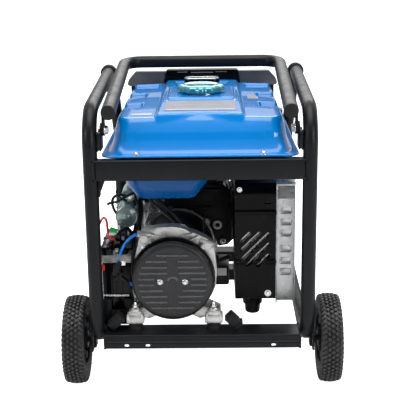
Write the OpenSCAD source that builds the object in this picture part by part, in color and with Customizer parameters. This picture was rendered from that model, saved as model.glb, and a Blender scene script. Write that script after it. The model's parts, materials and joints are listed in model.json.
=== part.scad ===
/* [Frame] */
// Diameter of the bent frame tubes
tube_d = 32; // [28:1:34]
// Width over the outer faces of the two side hoops
frame_w = 500; // [490:2:510]
// Distance between the near and far leg axes
frame_l = 640; // [630:2:650]
// Height of the lower hoop rails' axis above the floor
rail_z = 122; // [118:1:126]
// Height of the upper hoop rails' axis above the floor
top_z = 637; // [630:1:640]
// How far each upper rail leans out at the far end
splay = 18; // [0:1:20]
// How far each upper rail climbs towards the far end
rail_rise = 13; // [0:1:16]

/* [Wheels and feet] */
// Outside diameter of each tyre
wheel_d = 203; // [198:1:206]
// Width of each tyre
wheel_w = 50; // [46:1:52]
// Distance of the wheel axis behind the near legs' axis
axle_back = 62; // [55:1:70]
// Radius of the stub axles
axle_r = 8; // [7:0.5:10]

/* [Pull handle] */
// Height of the handle's hinge axis
hinge_z = 599; // [596:1:602]
// Distance from the hinge axis to the middle of the cross grip
handle_reach = 580; // [560:2:590]

/* [Fuel tank] */
// Half width of the tank's seam flange
tank_half_w = 205; // [200:1:206]
// Length of the tank along the frame
tank_l = 606; // [598:2:608]
// Height of the seam flange
seam_z = 545; // [544:1:548]
// Height of the tank's main top face
tank_top_z = 616; // [612:1:618]
// Depth of the tank's lower sump below the seam
sump_h = 105; // [90:1:108]

/* [Engine and alternator] */
// Sideways place of the crankshaft axis
crank_x = -62; // [-66:1:-58]
// Height of the crankshaft axis
crank_z = 252; // [248:1:256]
// Outside radius of the alternator's end cover
cover_r = 91; // [86:1:92]
// Radius of the crankshaft in its bearings
shaft_r = 15; // [13:0.5:16]

/* [Exhaust] */
// Width of the muffler with its side cover
muffler_w = 136; // [126:2:140]
// Height of the muffler
muffler_h = 272; // [262:2:280]

/* [Hidden] */

tube_r = tube_d / 2;
// Sideways place of the hoop tubes' axes
leg_x = frame_w / 2 - tube_r;
// The origin is under the middle of the overall box, so the near legs stand at near_y
near_y = (wheel_d / 2 - axle_back - frame_l - tube_r) / 2;
// A place given by its distance behind the near legs' axis
function yb(b) = near_y + b;
axle_y = yb(axle_back);
axle_z = wheel_d / 2;
wheel_in = frame_w / 2 + 14;
wheel_out = wheel_in + wheel_w;
// Lower edge of the frame
frame_z0 = rail_z - tube_r;
// Near cross members
plate_z = 493;
plate_h = 46;
deck_z = 140;
sheet = 3;
// Running gap of a shaft in its bearing, and of faces that pass each other
fit = 0.05;
gap = 0.4;
// Near row of the tank's flange bolts
bolt_near = 5;
// Handle
hinge_y = yb(20);
tab_x = 203;
tab_t = 5;
grip_z = 673;
// Engine stations behind the near legs
stator_b0 = 102;
stator_b1 = 300;
case_b0 = 335;
case_b1 = 480;
blower_b1 = 548;
steel = [0.62, 0.63, 0.65];
alu = [0.72, 0.73, 0.74];
satin_black = [0.06, 0.065, 0.07];
plastic_black = [0.03, 0.03, 0.035];
rubber_black = [0.05, 0.05, 0.05];
tank_blue = [0.0, 0.34, 0.75];

// Unit vector along v
function unit(v) = v / norm(v);

// Points of a bend of radius r at corner p1, between the legs to p0 and p2
function bend(p0, p1, p2, r, n = 6) =
  let (a = unit(p0 - p1), b = unit(p2 - p1), turn = 180 - acos(a * b),
       t = r * tan(turn / 2), c = p1 + unit(a + b) * r / cos(turn / 2),
       s = p1 + a * t - c, e = p1 + b * t - c)
  [for (i = [0 : n]) c + (sin((1 - i / n) * turn) * s + sin(i / n * turn) * e) / sin(turn)];

// Direction of a path at point i: half way between its two neighbours' directions
function path_dir(p, i, closed) =
  let (n = len(p), first = !closed && i == 0, last = !closed && i == n - 1,
       back = first ? p[1] - p[0] : p[i] - p[(i + n - 1) % n],
       ahead = last ? p[i] - p[i - 1] : p[(i + 1) % n] - p[i])
  unit(unit(back) + unit(ahead));

// Round tube of radius r swept along the points p, with its rings turned from ref
module swept(p, r, ref, closed = false, k = 20) {
  n = len(p);
  rings = [for (i = [0 : n - 1])
    let (t = path_dir(p, i, closed), u = unit(cross(t, ref)), v = cross(u, t))
    for (j = [0 : k - 1]) p[i] + r * (cos(360 * j / k) * u + sin(360 * j / k) * v)];
  spans = closed ? n : n - 1;
  walls = [for (i = [0 : spans - 1], j = [0 : k - 1])
    let (a = i * k + j, b = i * k + (j + 1) % k, c = ((i + 1) % n) * k + (j + 1) % k,
         d = ((i + 1) % n) * k + j)
    each [[a, b, c], [a, c, d]]];
  ends = closed ? [] : [[for (j = [0 : k - 1]) k - 1 - j],
    [for (j = [0 : k - 1]) (n - 1) * k + j]];
  polyhedron(rings, concat(walls, ends), convexity = 6);
}

// Box with its low corner at p, edges along Y rounded by r when r > 0
module block(p, s, r = 0) {
  translate(p) {
    if (r > 0) {
      translate([0, s[1], 0]) rotate([90, 0, 0]) linear_extrude(s[1])
        round_rect([0, 0], [s[0], s[2]], r);
    } else {
      cube(s);
    }
  }
}

// Rectangle from a to b with corners of radius r
module round_rect(a, b, r) {
  union() {
    translate([a[0] + r, a[1]]) square([b[0] - a[0] - 2 * r, b[1] - a[1]]);
    translate([a[0], a[1] + r]) square([b[0] - a[0], b[1] - a[1] - 2 * r]);
    for (x = [a[0] + r, b[0] - r], y = [a[1] + r, b[1] - r]) {
      translate([x, y]) circle(r, $fn = 32);
    }
  }
}

// Cylinder along Y from behind-distance b0 to b1
module rod_y(x, z, b0, b1, r, r2 = 0) {
  translate([x, yb(b0), z]) rotate([-90, 0, 0])
    cylinder(h = b1 - b0, r1 = r, r2 = r2 > 0 ? r2 : r, $fn = 64);
}

// Cylinder along X from x0 to x1
module rod_x(x0, x1, y, z, r) {
  translate([x0, y, z]) rotate([0, 90, 0]) cylinder(h = x1 - x0, r = r, $fn = 64);
}

// Cylinder along Z from z0 to z1
module rod_z(x, y, z0, z1, r) {
  translate([x, y, z0]) cylinder(h = z1 - z0, r = r, $fn = 64);
}

// ---------------------------------------------------------------- frame

// Corners of a side hoop, side s = -1 left, +1 right
function hoop_corners(s) = [
  [s * leg_x, yb(0), rail_z], [s * leg_x, yb(0), top_z],
  [s * (leg_x + splay), yb(frame_l), top_z + rail_rise], [s * leg_x, yb(frame_l), 470],
  [s * leg_x, yb(frame_l), rail_z]];

function hoop_path(s) =
  let (c = hoop_corners(s))
  concat(bend(c[4], c[0], c[1], 60), bend(c[0], c[1], c[2], 80, 8),
         bend(c[1], c[2], c[3], 60), [c[3]], bend(c[3], c[4], c[0], 60));

module side_hoop_left() {
  color(satin_black) swept(hoop_path(-1), tube_r, [1, 0, 0], closed = true);
}

module side_hoop_right() {
  color(satin_black) swept(hoop_path(1), tube_r, [1, 0, 0], closed = true);
}

// Far upper bend of a hoop, as a short open path
function sleeve_path(s) =
  let (c = hoop_corners(s), arc = bend(c[1], c[2], c[3], 60))
  concat([arc[0] - unit(arc[1] - arc[0]) * 22], arc);

module corner_sleeves() {
  color(plastic_black) for (s = [-1, 1]) {
    difference() {
      swept(sleeve_path(s), tube_r + 5, [1, 0, 0]);
      swept(hoop_path(s), tube_r + 0.1, [1, 0, 0], closed = true);
    }
  }
}

// Upright clearance cylinders where a member is coped against the legs
module leg_cope(b) {
  for (s = [-1, 1]) {
    rod_z(s * leg_x, yb(b), 60, 700, tube_r + 0.1);
  }
}

module top_cross_plate() {
  color(satin_black) difference() {
    union() {
      block([-222, yb(-14), plate_z], [444, 30, plate_h]);
      // Gusset under the left end
      translate([-218, yb(-8), plate_z]) rotate([90, 0, 0]) linear_extrude(sheet)
        polygon([[0, 0], [14, 0], [0, -34]]);
    }
    block([-219, yb(-11), plate_z - 1], [438, 24, plate_h - 2]);
    leg_cope(0);
    for (s = [-1, 1]) {
      rod_z(s * 145, yb(bolt_near), plate_z, seam_z, 4.5);
    }
  }
}

module far_cross_bar() {
  half = leg_x - tube_r - 0.1;
  color(satin_black) difference() {
    block([-half, yb(588), plate_z + 6], [2 * half, 45.5, plate_h - 6]);
    block([-half - 1, yb(591), plate_z + 5], [2 * half + 2, 39.5, plate_h - 8]);
    for (s = [-1, 1]) {
      rod_z(s * 145, yb(tank_l - 10), plate_z, seam_z, 4.5);
    }
  }
}

// Folded section of the near lower member: deck, front web, ledge and hanging flange
module bottom_cross_near() {
  half = leg_x - tube_r - 0.1;
  color(satin_black) difference() {
    union() {
      block([-half, yb(-10), deck_z - sheet], [2 * half, 62, sheet]);
      block([-half, yb(-13), 122], [2 * half, sheet, deck_z - 122]);
      block([-half, yb(-19), 122], [2 * half, 9, sheet]);
      block([-half, yb(-19), frame_z0], [2 * half, sheet, 125 - frame_z0]);
      block([-half, yb(49), 124], [2 * half, sheet, deck_z - 124]);
    }
    for (x = [-168, -121, 158]) {
      rod_y(x, 113, -30, 0, 4.5);
    }
    for (s = [-1, 1]) {
      rod_z(crank_x + s * 82, yb(26), deck_z - 10, deck_z + 1, 5 + fit);
    }
  }
}

// Two channel cross rails between the hoops: under the engine and at the far end
module engine_rails() {
  half = leg_x - tube_r - 0.1;
  color(satin_black) difference() {
    for (b = [425, 575]) {
      difference() {
        block([-half, yb(b), deck_z - 30], [2 * half, 50, 30]);
        block([-half - 1, yb(b + sheet), deck_z - 31], [2 * half + 2, 50 - 2 * sheet, 28]);
      }
    }
    for (s = [-1, 1]) {
      rod_z(crank_x + s * 75, yb(450), deck_z - 10, deck_z + 1, 5 + fit);
    }
  }
}

// Rounded hinge plates on the inner faces of the near legs
module handle_brackets() {
  color(satin_black) for (s = [-1, 1]) {
    x0 = s > 0 ? tab_x + tab_t + gap : -(tab_x + tab_t + gap + 4);
    difference() {
      union() {
        rod_x(x0, x0 + 4, hinge_y, hinge_z, 15);
        translate([x0, yb(-8), hinge_z - 42]) cube([4, 43, 42]);
        // Web that reaches the leg
        translate([s > 0 ? x0 : -leg_x + tube_r + 0.1, yb(-8), hinge_z - 42])
          cube([leg_x - tube_r - 0.1 - tab_x - tab_t - gap, 16, 40]);
      }
      leg_cope(0);
      rod_x(-300, 300, hinge_y, hinge_z, 6.05);
    }
  }
}

module hinge_bolts() {
  color(steel) for (s = [-1, 1]) {
    mirror([s > 0 ? 0 : 1, 0, 0]) {
      rod_x(tab_x - 2, tab_x + tab_t + 9, hinge_y, hinge_z, 6);
      translate([tab_x - 9, hinge_y, hinge_z]) rotate([0, 90, 0])
        cylinder(h = 8.7, r = 10, $fn = 6);
    }
  }
}

// Plate and stub axle on the outer face of each lower rail
module axle_brackets() {
  color(satin_black) for (s = [-1, 1]) {
    mirror([s > 0 ? 0 : 1, 0, 0]) {
      difference() {
        union() {
          translate([246, axle_y - 26, axle_z - 22]) cube([8, 52, 58]);
          rod_x(250, wheel_out - 4, axle_y, axle_z, axle_r);
          rod_x(250, wheel_in - 3, axle_y, axle_z, axle_r + 5);
        }
        translate([leg_x, yb(0), rail_z]) rotate([-90, 0, 0])
          cylinder(h = 200, r = tube_r + 0.1, $fn = 64);
        translate([leg_x - 30, axle_y - 30, 60]) cube([46.3, 28, 100]);
        translate([leg_x - 30, axle_y - 30, rail_z + 8]) cube([46.3, 80, 60]);
      }
    }
  }
}

// Folded channel legs under the far ends of the lower rails
module foot_stands() {
  color(satin_black) for (s = [-1, 1]) {
    difference() {
      block([s * leg_x - 15.5, yb(555), 22], [31, 56, 96]);
      block([s * leg_x - 12.5, yb(554), 25], [25, 54, 94]);
      translate([s * leg_x, yb(500), rail_z]) rotate([-90, 0, 0])
        cylinder(h = 200, r = tube_r + 0.1, $fn = 64);
      translate([s * leg_x - 20, yb(550), rail_z]) cube([40, 70, 30]);
      rod_z(s * leg_x, yb(583), 10, 40, 5.05);
    }
  }
}

module rubber_feet() {
  color(rubber_black) for (s = [-1, 1]) {
    rod_z(s * leg_x, yb(583), 0, 22, 20);
    rod_z(s * leg_x, yb(583), 22, 36, 5);
  }
}

// ---------------------------------------------------------------- wheels

// Tyre as a ring about X, from its inner to its outer sidewall
module tyre(s) {
  color(rubber_black) mirror([s > 0 ? 0 : 1, 0, 0])
    translate([wheel_in, axle_y, axle_z]) rotate([0, 90, 0]) rotate_extrude($fn = 128)
      difference() {
        round_rect([62, 0], [wheel_d / 2, wheel_w], 12);
        translate([50, 12]) square([18, wheel_w - 24]);
      }
}

module rim(s) {
  color(plastic_black) mirror([s > 0 ? 0 : 1, 0, 0])
    translate([wheel_in, axle_y, axle_z]) rotate([0, 90, 0]) difference() {
      union() {
        rotate_extrude($fn = 128) {
          translate([axle_r + fit, 0]) square([12, wheel_w - 10]);
          translate([axle_r + 2, 16]) square([56, 5]);
          translate([58, 12.2]) square([9.8, wheel_w - 24.4]);
          translate([56, 2]) square([5.8, wheel_w - 4]);
        }
        for (a = [0 : 60 : 300]) {
          rotate([0, 0, a]) translate([18, -3, 12.2]) cube([41, 6, wheel_w - 24.4]);
        }
      }
      for (a = [30 : 60 : 330]) {
        rotate([0, 0, a]) translate([38, 0, 0]) cylinder(h = 40, r = 9, $fn = 48);
      }
    }
}

module tyre_left() { tyre(-1); }
module tyre_right() { tyre(1); }
module rim_left() { rim(-1); }
module rim_right() { rim(1); }

module axle_nuts() {
  color(steel) for (s = [-1, 1]) {
    mirror([s > 0 ? 0 : 1, 0, 0]) difference() {
      union() {
        rod_x(wheel_in + wheel_w - 10 + gap, wheel_in + wheel_w - 8, axle_y, axle_z, 17);
        translate([wheel_in + wheel_w - 8, axle_y, axle_z]) rotate([0, 90, 0])
          cylinder(h = 7, r = 13, $fn = 6);
      }
      rod_x(200, wheel_out - 4, axle_y, axle_z, axle_r + fit);
    }
  }
}

// ---------------------------------------------------------------- pull handle

// Near end, far corner and cross grip of the folded handle
handle_end = [193.5, yb(12), 637];
handle_far = [208, yb(20) + handle_reach, grip_z];
function across(p) = [-p[0], p[1], p[2]];
function handle_path() =
  concat([across(handle_end)],
         bend(across(handle_end), across(handle_far), handle_far, 48, 7),
         bend(across(handle_far), handle_far, handle_end, 48, 7), [handle_end]);

module handle_frame() {
  color(satin_black) difference() {
    union() {
      swept(handle_path(), tube_r, [0, 0, 1], k = 24);
      for (s = [-1, 1]) {
        mirror([s > 0 ? 0 : 1, 0, 0]) difference() {
          union() {
            rod_x(tab_x, tab_x + tab_t, hinge_y, hinge_z, 13);
            translate([tab_x, hinge_y - 8, hinge_z]) cube([tab_t, 24, 36]);
          }
          rod_x(tab_x - 1, tab_x + tab_t + 1, hinge_y, hinge_z, 6 + fit);
        }
      }
    }
    // Room for the end plugs
    for (s = [-1, 1]) {
      rod_y(s * handle_end[0], handle_end[2], 4, 24, 12);
    }
  }
}

module handle_plugs() {
  color(plastic_black) for (s = [-1, 1]) {
    rod_y(s * handle_end[0], handle_end[2] - 0.5, 7.5, 10, tube_r - 1, tube_r);
    rod_y(s * handle_end[0], handle_end[2], 10, 23, 11.8);
  }
}

// ---------------------------------------------------------------- fuel tank

// Slab of the tank's plan outline at height z, narrowed by inset and set back by near and far
module tank_slab(z, h, half, near, far, r) {
  translate([0, 0, z]) linear_extrude(h) round_rect([-half, yb(near)], [half, yb(far)], r);
}

// Outer form of the upper half, shrunk all round by t
module tank_upper_form(t) {
  hull() {
    tank_slab(seam_z - t, 3, tank_half_w - 9 - t, 15 + t, tank_l - 26 - t, 34);
    tank_slab(seam_z + 30, 1, tank_half_w - 12 - t, 22 + t, tank_l - 30 - t, 30);
    tank_slab(tank_top_z - 4 - t, 4, tank_half_w - 26 - t, 50 + t, tank_l - 42 - t, 26);
  }
  hull() {
    tank_slab(seam_z - t, 3, 110 - t, 15 + t, tank_l - 26 - t, 10);
    tank_slab(tank_top_z + 7 - t, 2, 97 - t, 58 + t, tank_l - 48 - t, 10);
  }
}

module tank_upper_shell() {
  color(tank_blue) difference() {
    union() {
      tank_slab(seam_z - 2, 3, tank_half_w, -4, tank_l, 24);
      tank_upper_form(0);
      // Cap platform and collar
      tank_slab(tank_top_z, 16, 80, 225, 420, 10);
    }
    difference() {
      tank_upper_form(2.5);
      translate([-300, yb(-50), seam_z - 40]) cube([600, 700, 37]);
    }
    // Stiffening pockets pressed into the shoulders
    for (s = [-1, 1], b = [215, 365, 505]) {
      translate([s > 0 ? 132 : -179, yb(b), tank_top_z - 1]) cube([47, 46, 10]);
    }
    rod_z(0, yb(312), 500, 700, 40 + fit);
    for (s = [-1, 1], b = [bolt_near, tank_l - 10]) {
      rod_z(s * 145, yb(b), 500, 560, 4.5);
    }
  }
}

module tank_lower_form(t) {
  hull() {
    tank_slab(seam_z - 22 + t, 20 - t, tank_half_w - 16 - t, 20 + t, tank_l - 30 - t, 30);
    translate([-80, 0, 0])
      tank_slab(seam_z - sump_h + 30 + t, 2, 88 - t, 66 + t, 480 - t, 30);
    translate([-80, 0, 0])
      tank_slab(seam_z - sump_h + t, 2, 62 - t, 84 + t, 462 - t, 20);
  }
}

module tank_lower_shell() {
  color(tank_blue) difference() {
    union() {
      tank_slab(seam_z - 5, 2.9, tank_half_w, -4, tank_l, 24);
      tank_lower_form(0);
    }
    tank_lower_form(2.5);
    translate([0, 0, 20]) tank_lower_form(4);
    rod_z(-80, yb(300), 400, 470, 8 + fit);
    for (s = [-1, 1], b = [bolt_near, tank_l - 10]) {
      rod_z(s * 145, yb(b), 500, 560, 4.5);
    }
  }
}

// Flange bolts with washers, and the rubber pads that they clamp
module tank_bolts() {
  color(steel) for (s = [-1, 1], b = [bolt_near, tank_l - 10]) {
    rod_z(s * 145, yb(b), seam_z + 1, seam_z + 3, 8);
    translate([s * 145, yb(b), seam_z + 3]) cylinder(h = 6, r = 6.6, $fn = 6);
    rod_z(s * 145, yb(b), plate_z + 30, seam_z + 1, 4);
  }
}

module filler_neck() {
  color(steel) translate([0, yb(312), 0]) difference() {
    union() {
      translate([0, 0, tank_top_z - 60]) cylinder(h = 79, r = 38, $fn = 64);
      translate([0, 0, tank_top_z + 16 + fit]) cylinder(h = 3, r = 44, $fn = 64);
    }
    translate([0, 0, tank_top_z - 58]) cylinder(h = 90, r = 36, $fn = 64);
  }
}

module fuel_cap() {
  color([0.35, 0.72, 0.85]) translate([0, yb(312), 0]) difference() {
    union() {
      translate([0, 0, tank_top_z + 19 + gap]) cylinder(h = 14, r = 50, $fn = 96);
      translate([0, 0, tank_top_z + 33]) cylinder(h = 5, r1 = 50, r2 = 44, $fn = 96);
      for (a = [0 : 30 : 330]) {
        rotate([0, 0, a]) translate([47, 0, tank_top_z + 19 + gap])
          cylinder(h = 14, r = 9, $fn = 32);
      }
      translate([0, 0, tank_top_z + 4]) cylinder(h = 20, r = 35.6, $fn = 64);
    }
    translate([0, 0, tank_top_z]) cylinder(h = 30, r = 32, $fn = 64);
  }
}

module fuel_gauge() {
  color(plastic_black) translate([0, yb(515), tank_top_z + 9 + fit]) {
    for (x = [-28, 28]) {
      translate([x, 0, 0]) cylinder(h = 16, r = 18, $fn = 64);
    }
    translate([-28, -18, 0]) cube([56, 36, 16]);
  }
}

module fuel_tap() {
  color(alu) {
    rod_z(-80, yb(300), 405, seam_z - sump_h + 6, 8);
    rod_z(-80, yb(300), 402, 412, 13);
    rod_x(-93, -60, yb(300), 407, 6);
  }
}

module fuel_tap_lever() {
  color([0.75, 0.1, 0.08]) {
    rod_x(-101, -93 - gap, yb(300), 407, 7);
    translate([-101, yb(297), 378]) cube([5, 6, 29]);
  }
}

// Fuel hose from the tap to the carburettor
hose_route = [[-59, yb(300), 407], [-46, yb(300), 407], [-20, yb(314), 402],
  [12, yb(348), 398], [34, yb(395), 396], [48, yb(436), 394], [62, yb(460), 392],
  [74, yb(474), 386], [80, yb(484), 372], [81, yb(487), 357]];

module fuel_hose() {
  color(rubber_black) swept(hose_route, 5, [0, 0, 1], k = 10);
}

// ---------------------------------------------------------------- engine

// Crankcase: outer form less the crank chamber and bearing bores
module crankcase() {
  color(alu) difference() {
    union() {
      block([crank_x - 98, yb(case_b0), crank_z - 96], [196, case_b1 - case_b0, 196], 34);
      rod_y(crank_x, crank_z, stator_b1 + gap, case_b0 + 1, 92, 88);
      // Cylinder barrel leaning to the right
      translate([crank_x, yb(408), crank_z]) rotate([0, 65, 0])
        cylinder(h = 165, r = 46, $fn = 64);
      for (i = [0 : 5]) {
        translate([crank_x, yb(408), crank_z]) rotate([0, 65, 0])
          translate([-58, -58, 104 + i * 10]) cube([116, 116, 3]);
      }
      for (s = [-1, 1]) {
        block([crank_x + s * 75 - 20, yb(435), deck_z + gap], [40, 34, 40]);
      }
    }
    rod_y(crank_x, crank_z, case_b0 + 12, case_b1 - 12, 74);
    rod_y(crank_x, crank_z, stator_b1 - 10, case_b1 + 10, shaft_r + fit);
    rod_y(crank_x, crank_z, stator_b1 - 10, case_b0 + 2, 78);
    translate([crank_x, yb(408), crank_z]) rotate([0, 65, 0])
      cylinder(h = 166, r = 39, $fn = 64);
    rod_z(crank_x - 78, yb(360), 200, crank_z + 110, 8 + fit);
    for (s = [-1, 1]) {
      rod_z(crank_x + s * 75, yb(450), deck_z - 1, deck_z + 60, 5 + fit);
    }
  }
}

module cylinder_head() {
  color(alu) translate([crank_x, yb(408), crank_z]) rotate([0, 65, 0]) {
    translate([-54, -54, 165 + fit]) cube([108, 108, 26]);
    for (i = [0 : 2]) {
      translate([-60, -60, 168 + i * 8]) cube([120, 120, 3]);
    }
    // Exhaust port towards the muffler
    translate([-18, -96, 168]) cube([34, 44, 18]);
  }
}

module valve_cover() {
  color(steel) translate([crank_x, yb(408), crank_z]) rotate([0, 65, 0])
    translate([-44, -36, 192]) difference() {
      linear_extrude(26) round_rect([0, 0], [88, 72], 14);
      translate([2, 2, -1]) linear_extrude(25) round_rect([0, 0], [84, 68], 12);
    }
}

module blower_housing() {
  color(plastic_black) difference() {
    union() {
      rod_y(crank_x, crank_z, case_b1 + gap, blower_b1, 118);
      // Air duct to the cylinder
      block([crank_x, yb(case_b1 + gap), crank_z + 20], [130, blower_b1 - case_b1 - 6, 96], 20);
    }
    rod_y(crank_x, crank_z, case_b1 - 1, blower_b1 - 3, 115);
    block([crank_x + 60, yb(case_b1 - 2), crank_z + 24], [66, blower_b1 - case_b1 - 8, 88], 16);
    rod_y(crank_x, crank_z, blower_b1 - 10, blower_b1 + 10, 74);
  }
}

module recoil_cover() {
  color(tank_blue) difference() {
    union() {
      rod_y(crank_x, crank_z, blower_b1 + fit, blower_b1 + 32, 92, 84);
      rod_y(crank_x, crank_z, blower_b1 + 31, blower_b1 + 42, 82, 70);
      // Rope guide boss
      rod_y(crank_x + 58, crank_z + 50, blower_b1 + fit, blower_b1 + 44, 15);
    }
    rod_y(crank_x, crank_z, blower_b1 - 1, blower_b1 + 38, 72);
    for (a = [0 : 30 : 330]) {
      translate([crank_x, yb(blower_b1 + 30), crank_z]) rotate([-90, a, 0])
        translate([42, 0, 0]) cylinder(h = 20, r = 7, $fn = 32);
    }
    rod_y(crank_x + 58, crank_z + 50, blower_b1 - 1, blower_b1 + 50, 6);
  }
}

module recoil_grip() {
  color(plastic_black) {
    rod_y(crank_x + 58, crank_z + 50, blower_b1 + 20, blower_b1 + 48, 4);
    translate([crank_x + 58, yb(blower_b1 + 47), crank_z + 50]) rotate([0, 30, 0])
      block([-42, 0, -9], [84, 26, 18], 8);
  }
}

// Crankshaft with two balanced webs, its alternator taper and its flywheel end
module crankshaft() {
  color(steel) {
    rod_y(crank_x, crank_z, 74, blower_b1 - 6, shaft_r);
    rod_y(crank_x, crank_z, 362, 384, 64);
    rod_y(crank_x, crank_z, 432, 454, 64);
    rod_y(crank_x, crank_z, 384, 432, 24);
  }
}

module flywheel() {
  color([0.35, 0.35, 0.37]) difference() {
    union() {
      rod_y(crank_x, crank_z, 494, 520, 98);
      for (a = [0 : 24 : 336]) {
        translate([crank_x, yb(519), crank_z]) rotate([0, a, 0])
          translate([56, 0, -2]) cube([40, 20, 4]);
      }
    }
    rod_y(crank_x, crank_z, 480, 560, shaft_r + fit);
  }
}

module air_filter_box() {
  color(plastic_black) {
    block([84, yb(372), 392], [122, 150, 76], 18);
    block([84, yb(380), 468], [126, 134, 12], 5);
  }
}

module carburettor() {
  color(alu) {
    rod_y(96, 340, 469, 532, 17);
    rod_z(96, yb(497), 296, 340, 19);
    rod_z(96, yb(508), 340, 392 - gap, 14);
  }
}

module choke_lever() {
  color([0.8, 0.8, 0.82]) {
    rod_x(206 + gap, 212, yb(440), 420, 9);
    translate([208, yb(436), 388]) cube([3, 8, 32]);
    translate([206.5, yb(433), 380]) cube([6, 14, 10]);
  }
}

module oil_dipstick() {
  color([0.85, 0.75, 0.1]) {
    rod_z(crank_x - 78, yb(360), 212, crank_z + 101, 8);
    rod_z(crank_x - 78, yb(360), crank_z + 100 + fit, crank_z + 114, 14);
  }
}

// ---------------------------------------------------------------- exhaust

muf_x0 = 76;
muf_z0 = 186;

module muffler_body() {
  color([0.2, 0.2, 0.21]) difference() {
    union() {
      block([muf_x0 + 8, yb(104), muf_z0 + 12], [84, 206, muffler_h - 24], 30);
      // Inlet pipe from the cylinder head
      rod_y(128, 330, 308, 312, 20);
    }
    block([muf_x0 + 10, yb(106), muf_z0 + 14], [80, 202, muffler_h - 28], 28);
    rod_z(118, yb(150), muf_z0, muf_z0 + 30, 18 + fit);
  }
}

// Folded sheet cover over the muffler's near and inner faces, with slanted slots
module heat_shield() {
  color(satin_black) difference() {
    union() {
      block([muf_x0, yb(90), muf_z0], [93, 2, muffler_h]);
      block([muf_x0, yb(90), muf_z0], [2, 200, muffler_h]);
      block([muf_x0, yb(90), muf_z0 + muffler_h - 2], [93, 200, 2]);
      for (z = [276, 392]) {
        rod_x(muf_x0, muf_x0 + 93, yb(90), z, 4);
      }
    }
    for (i = [0 : 5]) {
      x = muf_x0 + 20 + (i % 3) * 24;
      z = i < 3 ? 358 - (i % 3) * 2 : 318 + (i % 3) * 2;
      translate([x, yb(80), z]) rotate([0, -48, 0]) translate([-17, 0, -4]) cube([34, 30, 8]);
    }
  }
}

// Ribbed bright cover on the muffler's outer side
module muffler_cover() {
  w = muffler_w - 93;
  x0 = muf_x0 + 93 + gap;
  color([0.75, 0.76, 0.78]) difference() {
    block([x0, yb(92), muf_z0 - 8], [w, 214, muffler_h + 16], 14);
    translate([x0 - 2, yb(94), muf_z0 - 5]) cube([w - 2, 210, muffler_h + 6]);
    for (i = [0 : 5]) {
      z = muf_z0 + 34 + i * 31 + (i > 2 ? 12 : 0);
      translate([x0 + 8, yb(88), z]) cube([w - 14, 8, 14]);
    }
  }
}

module exhaust_spout() {
  color(satin_black) translate([118, yb(150), 0]) difference() {
    union() {
      translate([0, 0, 152]) cylinder(h = 48, r = 18, $fn = 64);
      translate([0, 0, 132]) cylinder(h = 20, r1 = 13, r2 = 15, $fn = 64);
    }
    translate([0, 0, 131]) cylinder(h = 80, r = 11, $fn = 64);
  }
}

// ---------------------------------------------------------------- starting and electrics

module starter_motor() {
  color([0.5, 0.54, 0.54]) {
    rod_y(-180, 350, 200, 206, 20, 26);
    rod_y(-180, 350, 206, 330, 27);
    // Nose housing beside the flywheel
    rod_y(-182, 350, 330, 372, 23);
    // Solenoid on top
    rod_y(-178, 394, 226, 308, 17);
    block([-190, yb(240), 372], [22, 60, 14]);
  }
}

module battery() {
  color(plastic_black) {
    block([-226, yb(62), deck_z + 3], [66, 148, 142], 3);
    block([-228, yb(60), deck_z + 145], [70, 152, 14], 3);
    for (b = [80, 190]) {
      rod_z(-193, yb(b), deck_z + 159, deck_z + 170, 7);
    }
  }
}

// Tray, strap and hook rods that hold the battery
module battery_clamp() {
  color(satin_black) {
    block([-232, yb(54), deck_z], [78, 160, 2.9]);
    block([-231, yb(130), deck_z + 159 + fit], [76, 14, 4]);
    rod_z(-155, yb(137), deck_z + 2, deck_z + 160, 2.5);
    rod_x(-222, -158, yb(58), deck_z + 60, 2);
    block([-226, yb(52), deck_z + 2], [20, 4, 60]);
    block([-176, yb(52), deck_z + 2], [20, 4, 60]);
  }
}

module alternator_stator() {
  color([0.45, 0.46, 0.48]) difference() {
    rod_y(crank_x, crank_z, stator_b0 + fit, stator_b1, 88);
    rod_y(crank_x, crank_z, stator_b0 - 1, stator_b1 + 1, 63);
  }
}

module alternator_rotor() {
  color([0.6, 0.35, 0.2]) difference() {
    union() {
      rod_y(crank_x, crank_z, 112, 288, 62.4);
      rod_y(crank_x, crank_z, 304, 322, 70);
    }
    rod_y(crank_x, crank_z, 90, 330, shaft_r + fit);
  }
}

// Cast end bracket with its two feet
module end_bracket() {
  color(alu) difference() {
    union() {
      rod_y(crank_x, crank_z, 68, stator_b0, 96);
      rod_y(crank_x, crank_z, 54, 70, 30);
      for (s = [-1, 1]) {
        // Bosses and ears
        rod_y(crank_x + s * 72, crank_z + 74, 68, stator_b0, 13);
        rod_y(crank_x + s * 78, crank_z - 58, 68, stator_b0, 11);
        block([crank_x + s * 82 - 19, yb(10), 166], [38, 34, 12], 3);
        block([crank_x + s * 82 - 11, yb(10), 166], [22, 60, crank_z - 226], 5);
        block([crank_x + s * 82 - 12, yb(68), 166], [24, 32, 46], 6);
      }
    }
    rod_y(crank_x, crank_z, 82, stator_b0 + 1, 82);
    rod_y(crank_x, crank_z, 40, 120, shaft_r + fit);
    for (s = [-1, 1]) {
      rod_z(crank_x + s * 82, yb(26), 160, 220, 5 + fit);
    }
  }
}

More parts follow.
